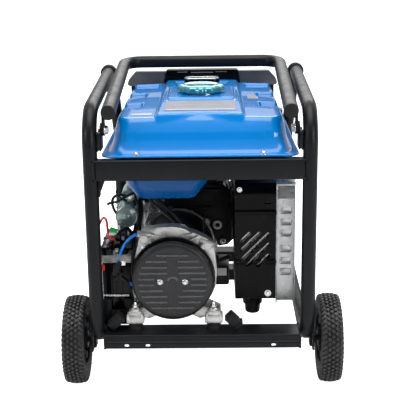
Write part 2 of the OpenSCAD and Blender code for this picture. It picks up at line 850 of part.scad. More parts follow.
// Louvred round cover with a deep rim
module end_cover() {
  color(plastic_black) difference() {
    union() {
      rod_y(crank_x, crank_z, 40, 44, cover_r - 3, cover_r);
      rod_y(crank_x, crank_z, 44, 67.5, cover_r);
    }
    rod_y(crank_x, crank_z, 43, 70, cover_r - 2.5);
    for (i = [0 : 9]) {
      z = (i - 4.5) * 14.2;
      half = sqrt(78 * 78 - z * z);
      inner = abs(z) < 20 ? 40 : (abs(z) > 60 ? 0 : 12);
      if (inner > 0) {
        for (s = [-1, 1]) {
          block([crank_x + (s > 0 ? inner : -half), yb(36), crank_z + z - 1.6],
                [half - inner, 12, 3.2]);
        }
      } else {
        block([crank_x - half, yb(36), crank_z + z - 1.6], [2 * half, 12, 3.2]);
      }
    }
    for (s = [-1, 1]) {
      rod_y(crank_x + s * 28, crank_z - 7, 30, 60, 3);
    }
  }
}

// Rubber buffers with their studs, under the alternator feet and the engine feet
module rubber_mounts() {
  color(rubber_black) {
    for (s = [-1, 1]) {
      rod_z(crank_x + s * 82, yb(26), deck_z, 166 - fit, 15);
      rod_z(crank_x + s * 82, yb(26), deck_z - 9, 196, 5);
      rod_z(crank_x + s * 75, yb(450), deck_z - 9, deck_z + 40, 5);
      // Tilted shock buffer beside each alternator foot
      translate([crank_x + s * 132, yb(24), deck_z + 21]) rotate([0, s * 45, 0])
        cube([36, 30, 22], center = true);
    }
  }
}

// ---------------------------------------------------------------- control console

con_b0 = 560;
con_b1 = 634;
con_z0 = 398;
// Places of the sockets, the breaker and the key switch
socket_x = 110;
socket_z = 455;
breaker_z = 565;
key_z = 470;

// Fascia at the far end with its rear box, below the far cross bar
module console_box() {
  color(plastic_black) difference() {
    union() {
      block([-196, yb(con_b1), con_z0], [392, 6, 236], 12);
      block([-180, yb(con_b0), con_z0 + 6], [360, con_b1 - con_b0 + 1, 92], 8);
    }
    block([-177, yb(con_b0 + 3), con_z0 + 9], [354, con_b1 - con_b0 - 2, 86], 6);
    for (x = [-socket_x, socket_x]) {
      rod_y(x, socket_z, con_b1 - 5, con_b1 + 10, 30 + fit);
    }
    rod_y(0, key_z, con_b1 - 5, con_b1 + 10, 12 + fit);
    rod_y(150, 560, con_b1 - 5, con_b1 + 10, 4 + fit);
    block([-18, yb(con_b1 - 5), breaker_z - 25], [36, 20, 50]);
  }
}

module console_hood() {
  color(plastic_black) difference() {
    union() {
      block([-196, yb(con_b1 - 28), 604], [392, 27.8, 38], 8);
      block([-94, yb(con_b1 - 28), 604], [188, 27.8, 43], 8);
    }
    block([-193, yb(con_b1 - 25), 590], [386, 22, 49], 6);
  }
}

// Two round sockets
module socket_block() {
  color([0.1, 0.12, 0.3]) for (x = [-socket_x, socket_x]) {
    difference() {
      union() {
        rod_y(x, socket_z, con_b1 - 24, con_b1 + 7.6, 30);
        block([x - 34, yb(con_b1 + 6 + fit), socket_z - 34], [68, 1.6, 68], 6);
      }
      rod_y(x, socket_z, con_b1 - 16, con_b1 + 12, 21);
    }
  }
}

// Spring lid hinged along its top edge
module socket_lid(x) {
  face = con_b1 + 7.6 + gap;
  color([0.1, 0.12, 0.3]) {
    rod_y(x, socket_z, face, face + 3.4, 29);
    block([x - 22, yb(face), socket_z], [44, 3, 33], 3);
    rod_x(x - 20, x + 20, yb(face + 2.4), socket_z + 33, 2.2);
  }
}

module socket_lid_left() { socket_lid(-socket_x); }
module socket_lid_right() { socket_lid(socket_x); }

module breaker_rocker() {
  color([0.1, 0.1, 0.1]) {
    rod_x(-15, 15, yb(con_b1 + 1), breaker_z, 4);
    block([-15, yb(con_b1 - 1), breaker_z - 17], [30, 9, 34], 2);
  }
}

module key_switch() {
  color(steel) {
    rod_y(0, key_z, con_b1 - 16, con_b1 + 8, 12);
    translate([-2, yb(con_b1 + 8), key_z - 8]) cube([4, 13, 20]);
  }
}

module earth_stud() {
  color(steel) {
    rod_y(150, 560, con_b1 - 16, con_b1 + 20, 4);
    translate([150, yb(con_b1 + 6 + fit), 560]) rotate([-90, 0, 0])
      cylinder(h = 5, r = 8, $fn = 6);
  }
}

side_hoop_left();
side_hoop_right();
corner_sleeves();
top_cross_plate();
far_cross_bar();
bottom_cross_near();
engine_rails();
handle_brackets();
hinge_bolts();
axle_brackets();
foot_stands();
rubber_feet();
tyre_left();
rim_left();
tyre_right();
rim_right();
axle_nuts();
handle_frame();
handle_plugs();
tank_upper_shell();
tank_lower_shell();
tank_bolts();
filler_neck();
fuel_cap();
fuel_gauge();
fuel_tap();
fuel_tap_lever();
fuel_hose();
crankcase();
cylinder_head();
valve_cover();
blower_housing();
recoil_cover();
recoil_grip();
crankshaft();
flywheel();
air_filter_box();
carburettor();
choke_lever();
oil_dipstick();
muffler_body();
heat_shield();
muffler_cover();
exhaust_spout();
starter_motor();
battery();
battery_clamp();
alternator_stator();
alternator_rotor();
end_bracket();
end_cover();
rubber_mounts();
console_box();
console_hood();
socket_block();
socket_lid_left();
socket_lid_right();
breaker_rocker();
key_switch();
earth_stud();
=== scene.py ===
import json
import math
import bmesh
import bpy
from mathutils import Matrix, Vector


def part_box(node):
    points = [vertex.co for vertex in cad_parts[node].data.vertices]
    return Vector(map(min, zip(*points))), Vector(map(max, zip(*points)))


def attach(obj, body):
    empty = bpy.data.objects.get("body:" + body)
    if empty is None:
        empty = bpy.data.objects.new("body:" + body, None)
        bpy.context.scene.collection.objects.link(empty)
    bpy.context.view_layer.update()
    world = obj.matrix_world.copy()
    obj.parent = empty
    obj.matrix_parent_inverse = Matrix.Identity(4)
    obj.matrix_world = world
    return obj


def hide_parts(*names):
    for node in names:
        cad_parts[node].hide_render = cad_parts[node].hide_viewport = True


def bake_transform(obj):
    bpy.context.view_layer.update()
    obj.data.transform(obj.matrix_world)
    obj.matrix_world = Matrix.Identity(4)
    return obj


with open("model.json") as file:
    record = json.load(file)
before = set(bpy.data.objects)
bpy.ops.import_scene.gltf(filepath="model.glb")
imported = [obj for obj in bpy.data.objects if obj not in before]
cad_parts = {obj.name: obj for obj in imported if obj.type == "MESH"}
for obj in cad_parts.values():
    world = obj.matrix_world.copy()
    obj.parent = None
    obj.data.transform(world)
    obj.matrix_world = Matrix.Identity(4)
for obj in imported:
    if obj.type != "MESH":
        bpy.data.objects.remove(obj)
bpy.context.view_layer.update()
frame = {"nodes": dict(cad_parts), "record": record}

MM = 0.001

# Places are (across, behind the near legs' axis, up), in millimetres, as in the design
NEAR_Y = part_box("top_cross_plate")[0].y / MM + 14
TUBE_R = 16
LEG_X = 234
SPLAY = 18
FRAME_L = 640
RAIL_Z = 122
TOP_Z = 637
RAIL_RISE = 13
AXLE_B = 62
WHEEL_R = 101.5
WHEEL_IN = 264
WHEEL_W = 50
CRANK_X = -62
CRANK_Z = 252
SEAM_Z = 545
TANK_TOP = 616
FLANGE_HALF = 210.5
TANK_BOLT_X = 135
FOOT_DX = 88
COVER_B = 30
COVER_X = CRANK_X - 3.5
COVER_Z = CRANK_Z - 3
TANK_L = 606
HINGE_B = 20
HINGE_Z = 599
FASCIA_B = 640
CAP_B = 312
GAUGE_B = 516
MOUNT_B = 26
TOWARD = (0, -1, 0)


def row(p):
    """A design place as a point in the row frame, in metres."""
    return Vector((p[0], p[1] + NEAR_Y, p[2])) * MM


# ------------------------------------------------------------------ geometry helpers

AXES = {"x": Matrix.Rotation(math.pi / 2, 4, "Y"), "y": Matrix.Rotation(-math.pi / 2, 4, "X"),
        "z": Matrix.Identity(4)}


def along(axis, place):
    """Turns local +Z onto an axis and moves the local origin to a place."""
    if isinstance(axis, str):
        return Matrix.Translation(place) @ AXES[axis]
    return Matrix.Translation(place) @ Vector(axis).to_track_quat("Z", "Y").to_matrix().to_4x4()


def rounded(points, radius, steps=8, closed=False):
    """The points with each corner replaced by a bend of that radius."""
    pts = [Vector(p) for p in points]
    out = []
    for i, p in enumerate(pts):
        if not closed and i in (0, len(pts) - 1):
            out.append(p)
            continue
        a = (pts[i - 1] - p)
        b = (pts[(i + 1) % len(pts)] - p)
        turn = math.pi - a.angle(b)
        if turn < 0.02:
            out.append(p)
            continue
        reach = min(radius * math.tan(turn / 2), a.length * 0.49, b.length * 0.49)
        r = reach / math.tan(turn / 2)
        a.normalize()
        b.normalize()
        centre = p + (a + b).normalized() * (r / math.cos(turn / 2))
        s = p + a * reach - centre
        e = p + b * reach - centre
        for k in range(steps + 1):
            w = k / steps
            out.append(centre + (s * math.sin((1 - w) * turn) + e * math.sin(w * turn)) / math.sin(turn))
    return out


def flowing(points, steps=8):
    """A smooth curve through the points (Catmull-Rom)."""
    pts = [Vector(p) for p in points]
    pts = [pts[0] * 2 - pts[1]] + pts + [pts[-1] * 2 - pts[-2]]
    out = []
    for i in range(1, len(pts) - 2):
        p0, p1, p2, p3 = pts[i - 1:i + 3]
        for k in range(steps):
            t = k / steps
            out.append(0.5 * (2 * p1 + (p2 - p0) * t + (2 * p0 - 5 * p1 + 4 * p2 - p3) * t * t
                    + (3 * p1 - p0 - 3 * p2 + p3) * t ** 3))
    return out + [pts[-2]]


def outline(x0, x1, y0, y1, r, steps=6):
    """Rounded rectangle as a closed list of 2-D points."""
    corners = [(x1 - r, y1 - r, 0), (x0 + r, y1 - r, 90), (x0 + r, y0 + r, 180), (x1 - r, y0 + r, 270)]
    return [(cx + r * math.cos(math.radians(a + 90 * k / steps)),
            cy + r * math.sin(math.radians(a + 90 * k / steps)))
            for cx, cy, a in corners for k in range(steps + 1)]


def placed_turn(place, angle, axis="Y"):
    """A turn at the origin, and then a move to a place."""
    return Matrix.Translation(place) @ Matrix.Rotation(angle, 4, axis)


def turned(place, angle, axis="Y"):
    """A turn about an axis through a place."""
    return placed_turn(place, angle, axis) @ Matrix.Translation(-Vector(place))


def arc_points(centre, radius, degrees):
    """Points on a circle, as (right, up) pairs."""
    return [(centre[0] + radius * math.cos(math.radians(t)), centre[1] + radius * math.sin(math.radians(t)))
            for t in degrees]


def facing(points):
    """An (across, up) outline as a prism along Y takes it."""
    return [(x, -z) for x, z in points][::-1]


def skin(part, rings):
    """Faces between each ring of vertices and the next. A ring of one vertex is a point."""
    for lower, upper in zip(rings, rings[1:]):
        count = max(len(lower), len(upper))
        for j in range(count):
            k = (j + 1) % count
            corners = dict.fromkeys([lower[j % len(lower)], lower[k % len(lower)],
                    upper[k % len(upper)], upper[j % len(upper)]])
            if len(corners) > 2:
                part.faces.new(list(corners))


class Shape:
    """A mesh under construction, in design millimetres."""

    def __init__(self):
        self.bm = bmesh.new()

    def merge(self, part, matrix=None):
        if matrix is not None:
            part.transform(matrix)
        mesh = bpy.data.meshes.new("part")
        part.to_mesh(mesh)
        part.free()
        self.bm.from_mesh(mesh)
        bpy.data.meshes.remove(mesh)
        return self

    def box(self, lo, hi, bevel=1.0, matrix=None, segments=2):
        part = bmesh.new()
        bmesh.ops.create_cube(part, size=1)
        size = Vector(hi) - Vector(lo)
        part.transform(Matrix.Translation((Vector(hi) + Vector(lo)) / 2) @ Matrix.Diagonal((*size, 1)))
        if bevel:
            bmesh.ops.bevel(part, geom=part.edges[:], offset=min(bevel, min(size) * 0.48),
                    segments=segments, profile=0.5, affect="EDGES")
        return self.merge(part, matrix)

    def lathe(self, axis, place, profile, sides=64, ripple=None):
        """Turns (radius, height) points about an axis. ripple(angle, i) scales the radius."""
        part = bmesh.new()
        rings = []
        for i, (r, h) in enumerate(profile):
            if r < 1e-6:
                rings.append([part.verts.new((0, 0, h))])
                continue
            ring = []
            for j in range(sides):
                a = 2 * math.pi * j / sides
                k = ripple(a, i) if ripple else 1
                ring.append(part.verts.new((r * k * math.cos(a), r * k * math.sin(a), h)))
            rings.append(ring)
        skin(part, rings)
        return self.merge(part, along(axis, place))

    def rod(self, axis, place, length, r, edge=0.8, sides=32):
        """A round bar from place, with its rims eased."""
        e = min(edge, r * 0.4, length * 0.4)
        return self.lathe(axis, place, [(0, 0), (r - e, 0), (r, e), (r, length - e), (r - e, length),
                (0, length)], sides)

    def bolt(self, axis, place, r, height=None, washer=True):
        """A hexagon head with its washer, standing on place along the axis."""
        h = height or r * 0.75
        base = 0
        if washer:
            self.lathe(axis, place, [(0, 0), (r * 1.45, 0), (r * 1.5, 0.4), (r * 1.45, 1.2), (0, 1.2)], 32)
            base = 1.2
        part = bmesh.new()
        rings = []
        for f, z in ((1, base), (1, base + h * 0.82), (0.86, base + h), (0, base + h)):
            rings.append([part.verts.new((r * f * math.cos(math.pi * j / 3),
                    r * f * math.sin(math.pi * j / 3), z))
                    for j in range(6)] if f else [part.verts.new((0, 0, z))])
        skin(part, rings)
        return self.merge(part, along(axis, place))

    def tube(self, points, r, sides=16, closed=False, ripple=None):
        """A round tube along the points. ripple(i) scales the radius at point i."""
        pts = [Vector(p) for p in points]
        n = len(pts)
        part = bmesh.new()
        side = None
        rings = []
        for i, p in enumerate(pts):
            a = pts[i - 1] if closed or i else p
            b = pts[(i + 1) % n] if closed or i < n - 1 else p
            d = (b - a).normalized()
            if closed or 0 < i < n - 1:
                d = ((p - a).normalized() + (b - p).normalized()).normalized()
            if side is None:
                side = d.orthogonal().normalized()
            side = (side - d * side.dot(d)).normalized()
            other = d.cross(side)
            rr = r * (ripple(i) if ripple else 1)
            rings.append([part.verts.new(p + (side * math.cos(t) + other * math.sin(t)) * rr)
                    for t in (2 * math.pi * j / sides for j in range(sides))])
        skin(part, rings)
        if closed:
            # The last ring meets the first with the turn that the path leaves between them
            first, last = rings[0], rings[-1]
            shift = min(range(sides), key=lambda s: (last[0].co - first[s].co).length)
            skin(part, [last, first[shift:] + first[:shift]])
        else:
            part.faces.new(list(reversed(rings[0])))
            part.faces.new(rings[-1])
        return self.merge(part)

    def prism(self, points, lo, hi, axis="z", place=(0, 0, 0), bevel=0.0, segments=2):
        """A flat outline, given about an axis, pushed from lo to hi along it."""
        part = bmesh.new()
        low = [part.verts.new((p[0], p[1], lo)) for p in points]
        high = [part.verts.new((p[0], p[1], hi)) for p in points]
        rims = [part.faces.new(list(reversed(low))), part.faces.new(high)]
        skin(part, [low, high])
        if bevel:
            edges = list({e for f in rims for e in f.edges})
            bmesh.ops.bevel(part, geom=edges, offset=bevel, segments=segments, profile=0.5, affect="EDGES")
        return self.merge(part, along(axis, place))

    def plate(self, points, x0, x1):
        """A flat plate across X, from its (behind, up) outline."""
        part = bmesh.new()
        low = [part.verts.new((x0, b, z)) for b, z in points]
        high = [part.verts.new((x1, b, z)) for b, z in points]
        part.faces.new(low)
        part.faces.new(list(reversed(high)))
        skin(part, [high, low])
        return self.merge(part)

    def loft(self, rings, caps=(True, True)):
        """Skin over closed rings that have equally many points."""
        part = bmesh.new()
        made = [[part.verts.new(p) for p in ring] for ring in rings]
        skin(part, made)
        if caps[0]:
            part.faces.new(list(reversed(made[0])))
        if caps[1]:
            part.faces.new(made[-1])
        return self.merge(part)

    def capsule(self, a, b, r, squash=(1, 1, 1), sides=20):
        """A bar with round ends from a to b, scaled about its middle."""
        a, b = Vector(a), Vector(b)
        length = (b - a).length
        arc = [(r * math.sin(math.radians(t)), r - r * math.cos(math.radians(t))) for t in range(0, 91, 15)]
        profile = arc + [(x, length + 2 * r - h) for x, h in reversed(arc)]
        start = a - (b - a).normalized() * r
        part = Shape()
        part.lathe(b - a, start, profile, sides)
        mid = (a + b) / 2
        scale = Matrix.Translation(mid) @ Matrix.Diagonal((*squash, 1)) @ Matrix.Translation(-mid)
        return self.merge(part.bm, scale)

    def placed(self, name):
        """The shape as an object in the row frame. The shape is used up."""
        self.bm.transform(Matrix.Diagonal((MM, MM, MM, 1)) @ Matrix.Translation((0, NEAR_Y, 0)))
        mesh = bpy.data.meshes.new(name)
        self.bm.to_mesh(mesh)
        self.bm.free()
        obj = bpy.data.objects.new(name, mesh)
        bpy.context.scene.collection.objects.link(obj)
        return obj

    def piece(self, name, material, body="frame", slot=None, replaces=(), angle=35, subdivide=0,
            bevel=0.0, cut=None, weld=True, sheet=False):
        """The finished object: moved into the row frame, shaded, coloured and tied to its body."""
        if weld:
            bmesh.ops.remove_doubles(self.bm, verts=self.bm.verts, dist=0.001)
        if not sheet:
            bmesh.ops.recalc_face_normals(self.bm, faces=self.bm.faces)
        obj = self.placed(name)
        obj.data.materials.append(material)
        if cut is not None:
            knife = cut.knife()
            mod = obj.modifiers.new("cut", "BOOLEAN")
            mod.operation = "DIFFERENCE"
            mod.solver = "EXACT"
            mod.object = knife
            settle(obj)
            bpy.data.objects.remove(knife)
        if bevel:
            mod = obj.modifiers.new("edges", "BEVEL")
            mod.width = bevel * MM
            mod.segments = 2
            mod.limit_method = "ANGLE"
            mod.angle_limit = math.radians(40)
            settle(obj)
        obj.data.shade_smooth()
        obj.data.set_sharp_from_angle(angle=math.radians(angle))
        if subdivide:
            mod = obj.modifiers.new("smooth", "SUBSURF")
            mod.levels = mod.render_levels = subdivide
        if body:
            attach(obj, body)
        if replaces:
            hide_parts(*([replaces] if isinstance(replaces, str) else replaces))
        return obj

    def knife(self):
        """This shape as a plain object for a boolean cut."""
        bmesh.ops.recalc_face_normals(self.bm, faces=self.bm.faces)
        return self.placed("knife")


def settle(obj):
    """Applies an object's modifiers to its mesh."""
    graph = bpy.context.evaluated_depsgraph_get()
    fresh = bpy.data.meshes.new_from_object(obj.evaluated_get(graph), depsgraph=graph)
    fresh.name = obj.name
    obj.modifiers.clear()
    obj.data = fresh


# ------------------------------------------------------------------ materials

def surface(name, colour, rough=0.5, metal=0.0, coat=0.0, coat_rough=0.05, vary=0.12, vary_size=14,
        rough_vary=0.08, grain=0.1, grain_size=900, wear=None, wear_share=0.5, dust=0.0,
        brushed=None, alpha=1.0, transmission=0.0, glow=None, specular=0.5):
    """A procedural finish: colour drift, roughness drift, a fine bump, worn edges and settled dust."""
    mat = bpy.data.materials.new(name)
    mat.use_nodes = True
    nodes, links = mat.node_tree.nodes, mat.node_tree.links
    shader = nodes["Principled BSDF"]
    place = nodes.new("ShaderNodeTexCoord").outputs["Object"]

    def noise(scale, detail=4, vector=place, roughness=0.55):
        n = nodes.new("ShaderNodeTexNoise")
        feed(n, ("Scale", scale), ("Detail", detail), ("Roughness", roughness), ("Vector", vector))
        return n.outputs["Fac"]

    def ramp(value, low, high, a=(0, 0, 0, 1), b=(1, 1, 1, 1)):
        r = nodes.new("ShaderNodeValToRGB")
        r.color_ramp.elements[0].position = low
        r.color_ramp.elements[1].position = high
        r.color_ramp.elements[0].color = a
        r.color_ramp.elements[1].color = b
        links.new(value, r.inputs["Fac"])
        return r.outputs["Color"]

    def feed(node, *values):
        for port, value in values:
            if isinstance(value, bpy.types.NodeSocket):
                links.new(value, node.inputs[port])
            else:
                node.inputs[port].default_value = value

    def mix(fac, a, b):
        m = nodes.new("ShaderNodeMix")
        m.data_type = "RGBA"
        feed(m, (0, fac), (6, a), (7, b))
        return m.outputs[2]

    def maths(kind, a, b):
        m = nodes.new("ShaderNodeMath")
        m.operation = kind
        m.use_clamp = True
        feed(m, (0, a), (1, b))
        return m.outputs[0]

    dark = tuple(c * (1 - vary) for c in colour) + (1,)
    light = tuple(min(1, c * (1 + vary)) for c in colour) + (1,)
    tone = ramp(noise(vary_size), 0.35, 0.65, dark, light)
    if brushed:
        stretch = nodes.new("ShaderNodeMapping")
        stretch.inputs["Scale"].default_value = brushed
        links.new(place, stretch.inputs["Vector"])
        streaks = noise(1.0, 3, stretch.outputs["Vector"])
        tone = mix(ramp(streaks, 0.3, 0.7), tuple(c * 0.86 for c in colour) + (1,), tone)
    low, high = max(0.02, rough - rough_vary), min(1, rough + rough_vary)
    shine = ramp(noise(vary_size * 3.1), 0.3, 0.7, (low, low, low, 1), (high, high, high, 1))
    if wear:
        soft = nodes.new("ShaderNodeBevel")
        soft.samples = 4
        soft.inputs["Radius"].default_value = 0.0014
        match = nodes.new("ShaderNodeVectorMath")
        match.operation = "DOT_PRODUCT"
        links.new(soft.outputs["Normal"], match.inputs[0])
        links.new(nodes.new("ShaderNodeNewGeometry").outputs["Normal"], match.inputs[1])
        edge = ramp(match.outputs["Value"], 0.90, 0.985, (1, 1, 1, 1), (0, 0, 0, 1))
        patch = ramp(noise(70, 6), 0.60 - wear_share * 0.2, 0.70 - wear_share * 0.2)
        tone = mix(maths("MULTIPLY", edge, patch), tone, (*wear, 1))
    if dust:
        parts = nodes.new("ShaderNodeSeparateXYZ")
        links.new(nodes.new("ShaderNodeNewGeometry").outputs["Normal"], parts.inputs[0])
        settled = maths("MULTIPLY", ramp(parts.outputs["Z"], 0.2, 1.0), ramp(noise(24, 6), 0.35, 0.75))
        settled = maths("MULTIPLY", settled, dust)
        tone = mix(settled, tone, (0.42, 0.39, 0.34, 1))
        shine = mix(settled, shine, (0.85, 0.85, 0.85, 1))
    feed(shader, ("Base Color", tone), ("Roughness", shine), ("Metallic", metal),
            ("Specular IOR Level", specular), ("Coat Weight", coat), ("Coat Roughness", coat_rough),
            ("Alpha", alpha), ("Transmission Weight", transmission))
    if grain:
        bump = nodes.new("ShaderNodeBump")
        feed(bump, ("Strength", min(1.0, grain)), ("Distance", 0.0006),
                ("Height", streaks if brushed else noise(grain_size, 3)))
        feed(shader, ("Normal", bump.outputs["Normal"]))
    if glow:
        feed(shader, ("Emission Color", (*glow, 1)), ("Emission Strength", 0.4))
    return mat


POWDER = surface("powder_black", (0.007, 0.0075, 0.009), 0.36, grain=0.05, grain_size=1500, vary=0.14,
        wear=(0.08, 0.08, 0.08), wear_share=0.12, specular=0.20)
ENAMEL = surface("tank_enamel", (0.0, 0.20, 0.60), 0.24, coat=0.8, coat_rough=0.015, vary=0.04,
        rough_vary=0.03, grain=0.02, grain_size=240, vary_size=6, specular=0.08)
# Painted shade: the tank's own blue enamel, darkened for the lower shell that hangs in shade under the seam
ENAMEL_PAINTED_SHADE = surface("tank_enamel_painted_shade", (0.0, 0.075, 0.27), 0.26, coat=0.2, vary=0.05, rough_vary=0.04,
        grain=0.05, grain_size=300, vary_size=8, specular=0.2)
CAP_BLUE = surface("cap_metallic", (0.035, 0.28, 0.34), 0.24, metal=0.5, coat=0.8, vary=0.08, grain=0.06,
        grain_size=1500)
CAST = surface("cast_aluminium", (0.58, 0.58, 0.565), 0.40, metal=0.8, vary=0.20, vary_size=45, grain=0.8,
        grain_size=560, wear=(0.85, 0.85, 0.85), wear_share=0.8)
ZINC = surface("bright_zinc", (0.72, 0.72, 0.70), 0.26, metal=1.0, vary=0.10, vary_size=90, grain=0.10,
        grain_size=1800)
STEEL = surface("bare_steel", (0.46, 0.46, 0.47), 0.30, metal=1.0, vary=0.12, grain=0.12, grain_size=1500)
STAMPED = surface("aluminised_steel", (0.52, 0.525, 0.535), 0.33, metal=0.9, vary=0.07, vary_size=30,
        grain=0.14, grain_size=1100, brushed=(40, 40, 900), wear=(0.80, 0.80, 0.80))
PLASTIC = surface("moulded_black", (0.009, 0.009, 0.010), 0.42, vary=0.12, grain=0.25, grain_size=1900,
        wear=(0.05, 0.05, 0.05), wear_share=0.2, specular=0.24)
DARK_GREY = surface("cover_grey", (0.020, 0.0205, 0.022), 0.32, vary=0.10, grain=0.10, grain_size=1700,
        wear=(0.12, 0.12, 0.12), wear_share=0.3, specular=0.35)
# Painted highlight: the cover's grey made about four times lighter for the pressed louvre ridges, which
# catch the light
LOUVRE_PAINTED_HIGHLIGHT = surface("louvre_painted_highlight", (0.085, 0.086, 0.094), 0.30, vary=0.10, grain=0.08, grain_size=1700,
        wear=(0.22, 0.22, 0.23), wear_share=0.3, specular=0.5)
# Partly the hood's own grey, partly painted light: lightened well above the black plastic to stand in for
# the light on the hood's top faces
HOOD_GREY_PAINTED_LIGHT = surface("hood_grey_painted_light", (0.13, 0.13, 0.138), 0.38, vary=0.10, grain=0.12, grain_size=1700,
        wear=(0.22, 0.22, 0.22), wear_share=0.2, specular=0.35)
GLOSSY = surface("gloss_black", (0.0015, 0.0015, 0.0018), 0.18, coat=0.05, vary=0.15, grain=0.03,
        grain_size=500, specular=0.16)
RUBBER = surface("rubber", (0.012, 0.012, 0.013), 0.54, vary=0.15, grain=0.30, grain_size=1300, dust=0.015,
        specular=0.24)
TYRE = surface("tyre_rubber", (0.021, 0.021, 0.022), 0.48, vary=0.20, vary_size=30, grain=0.35,
        grain_size=1100, wear=(0.065, 0.065, 0.068), wear_share=0.7, dust=0.03)
EXHAUST = surface("exhaust_black", (0.0015, 0.0015, 0.0017), 0.34, vary=0.2, grain=0.08, grain_size=900,
        wear=(0.09, 0.085, 0.08), wear_share=0.3, specular=0.13)
STARTER = surface("starter_grey", (0.34, 0.45, 0.44), 0.26, metal=0.5, vary=0.10, grain=0.12,
        grain_size=1300, wear=(0.7, 0.73, 0.7), wear_share=0.5)
COPPER = surface("copper_windings", (0.55, 0.24, 0.10), 0.36, metal=0.9, vary=0.2, vary_size=60,
        brushed=(20, 900, 20))
IRON = surface("cast_iron", (0.08, 0.08, 0.085), 0.5, metal=0.7, vary=0.2, grain=0.5, grain_size=700)
LAMINATE = surface("laminated_steel", (0.030, 0.030, 0.033), 0.45, metal=0.3, vary=0.1, brushed=(10, 1400,
        10), specular=0.2)
WIRE_RED = surface("wire_red", (0.50, 0.008, 0.008), 0.30, vary=0.08, grain=0.05)
WIRE_BLUE = surface("wire_blue", (0.0, 0.22, 0.80), 0.28, vary=0.08, grain=0.05)
WIRE_BLACK = surface("wire_black", (0.008, 0.008, 0.009), 0.36, vary=0.15, grain=0.15, specular=0.4)
GREEN = surface("connector_green", (0.005, 0.34, 0.06), 0.35, vary=0.1, grain=0.1)
WHITE = surface("white_plastic", (0.70, 0.70, 0.68), 0.40, vary=0.05, grain=0.1)
LABEL = surface("grey_label", (0.24, 0.245, 0.28), 0.55, vary=0.05, grain=0.04, specular=0.08)
LABEL_PALE = surface("pale_label", (0.46, 0.49, 0.54), 0.55, vary=0.04, grain=0.04, specular=0.08)
BAND = surface("smoky_case", (0.22, 0.22, 0.21), 0.18, coat=0.6, vary=0.30, vary_size=60, grain=0.06,
        grain_size=300)
SOCKET = surface("socket_blue", (0.010, 0.05, 0.27), 0.34, vary=0.08, grain=0.2, grain_size=1600)
GLASS = surface("clear_lens", (0.9, 0.92, 0.92), 0.05, vary=0.02, grain=0, rough_vary=0.02,
        transmission=0.9, alpha=0.35)
DIAL = surface("dial_face", (0.75, 0.75, 0.72), 0.5, vary=0.03, grain=0)
LAMP = surface("pilot_lamp", (0.05, 0.6, 0.12), 0.2, coat=0.6, vary=0.05, grain=0, glow=(0.02, 0.3, 0.05))

SLOT_FINISH = {"frame_paint": POWDER, "zinc": ZINC, "cast_alu": CAST, "black_plastic": PLASTIC,
        "tank_blue": ENAMEL, "cap_blue": CAP_BLUE, "tyre": TYRE, "rubber": RUBBER,
        "muffler_black": STEEL, "muffler_steel": STAMPED, "starter_grey": STARTER,
        "battery_black": GLOSSY, "stator_steel": LAMINATE, "copper": COPPER, "iron": IRON,
        "socket_blue": SOCKET, "red_plastic": PLASTIC, "yellow_plastic": PLASTIC}


def finish_cad_nodes():
    """Every carried-over CAD node takes the finish of its slot, with soft shading on its curves."""
    for part in frame["record"]["subparts"]:
        obj = frame["nodes"][part["node"]]
        obj.data.materials.clear()
        obj.data.materials.append(SLOT_FINISH[part["material_slot"]])
        obj.data.shade_smooth()
        obj.data.set_sharp_from_angle(angle=math.radians(32))
        mod = obj.modifiers.new("edges", "BEVEL")
        mod.width = 0.5 * MM
        mod.segments = 2
        mod.limit_method = "ANGLE"
        mod.angle_limit = math.radians(50)


finish_cad_nodes()


# ------------------------------------------------------------------ frame

def hoop_corners(s):
    return [Vector((s * LEG_X, 0, RAIL_Z)), Vector((s * LEG_X, 0, TOP_Z)),
            Vector((s * (LEG_X + SPLAY), FRAME_L, TOP_Z + RAIL_RISE)),
            Vector((s * LEG_X, FRAME_L, 470)), Vector((s * LEG_X, FRAME_L, RAIL_Z))]


def bend(points, i, radius, steps):
    n = len(points)
    trio = [points[(i - 1) % n], points[i], points[(i + 1) % n]]
    return rounded(trio, radius, steps)[1:-1]


def hoop_path(s):
    c = hoop_corners(s)
    return (bend(c, 0, 60, 10) + bend(c, 1, 80, 14) + bend(c, 2, 60, 10) + bend(c, 3, 150, 6)
            + bend(c, 4, 60, 10))


def weld_bead(shape, points, r=2.6):
    """A rippled bead of weld along the points."""
    shape.tube(points, r, 8, ripple=lambda i: 1 + 0.22 * math.sin(i * 2.4))


def side_hoops():
    for s, side in ((-1, "left"), (1, "right")):
        Shape().tube(hoop_path(s), TUBE_R, 40, closed=True).piece(
            f"hoop_tube_{side}", POWDER, slot="frame_paint", replaces=f"side_hoop_{side}", angle=60)
        # Sleeve on the far top corner, with a rolled near lip
        c = hoop_corners(s)
        arc = bend(c, 2, 60, 14)
        start = arc[0] - (arc[1] - arc[0]).normalized() * 21
        path = [start, start.lerp(arc[0], 0.08)] + arc
        last = len(path) - 1
        Shape().tube(path, TUBE_R + 4.6, 40, ripple=lambda i: 0.93 if i in (0,
                last) else 1).piece(f"corner_sleeve_{side}", RUBBER, slot="rubber",
                replaces="corner_sleeves", angle=50)
    beads = Shape()
    for s in (-1, 1):
        for z in (496, 536):
            ring = [(s * LEG_X - s * 16.3 * math.cos(a), -16.3 * math.sin(a), z)
                    for a in [math.radians(t) for t in range(10, 66, 5)]]
            weld_bead(beads, ring)
        weld_bead(beads, [(s * 217.5, b, 139.5) for b in range(-8, 50, 3)])
        weld_bead(beads, [(s * 217.5, -12.5, z) for z in range(108, 138, 3)])
        for b in (425, 475, 575, 625):
            weld_bead(beads, [(s * 217.2, b, z) for z in range(112, 139, 3)])
        for z in (558, 596):
            weld_bead(beads, [(s * 217, b, z) for b in range(-6, 9, 3)], 2.0)
    beads.piece("weld_beads", POWDER, slot="frame_paint", angle=60)


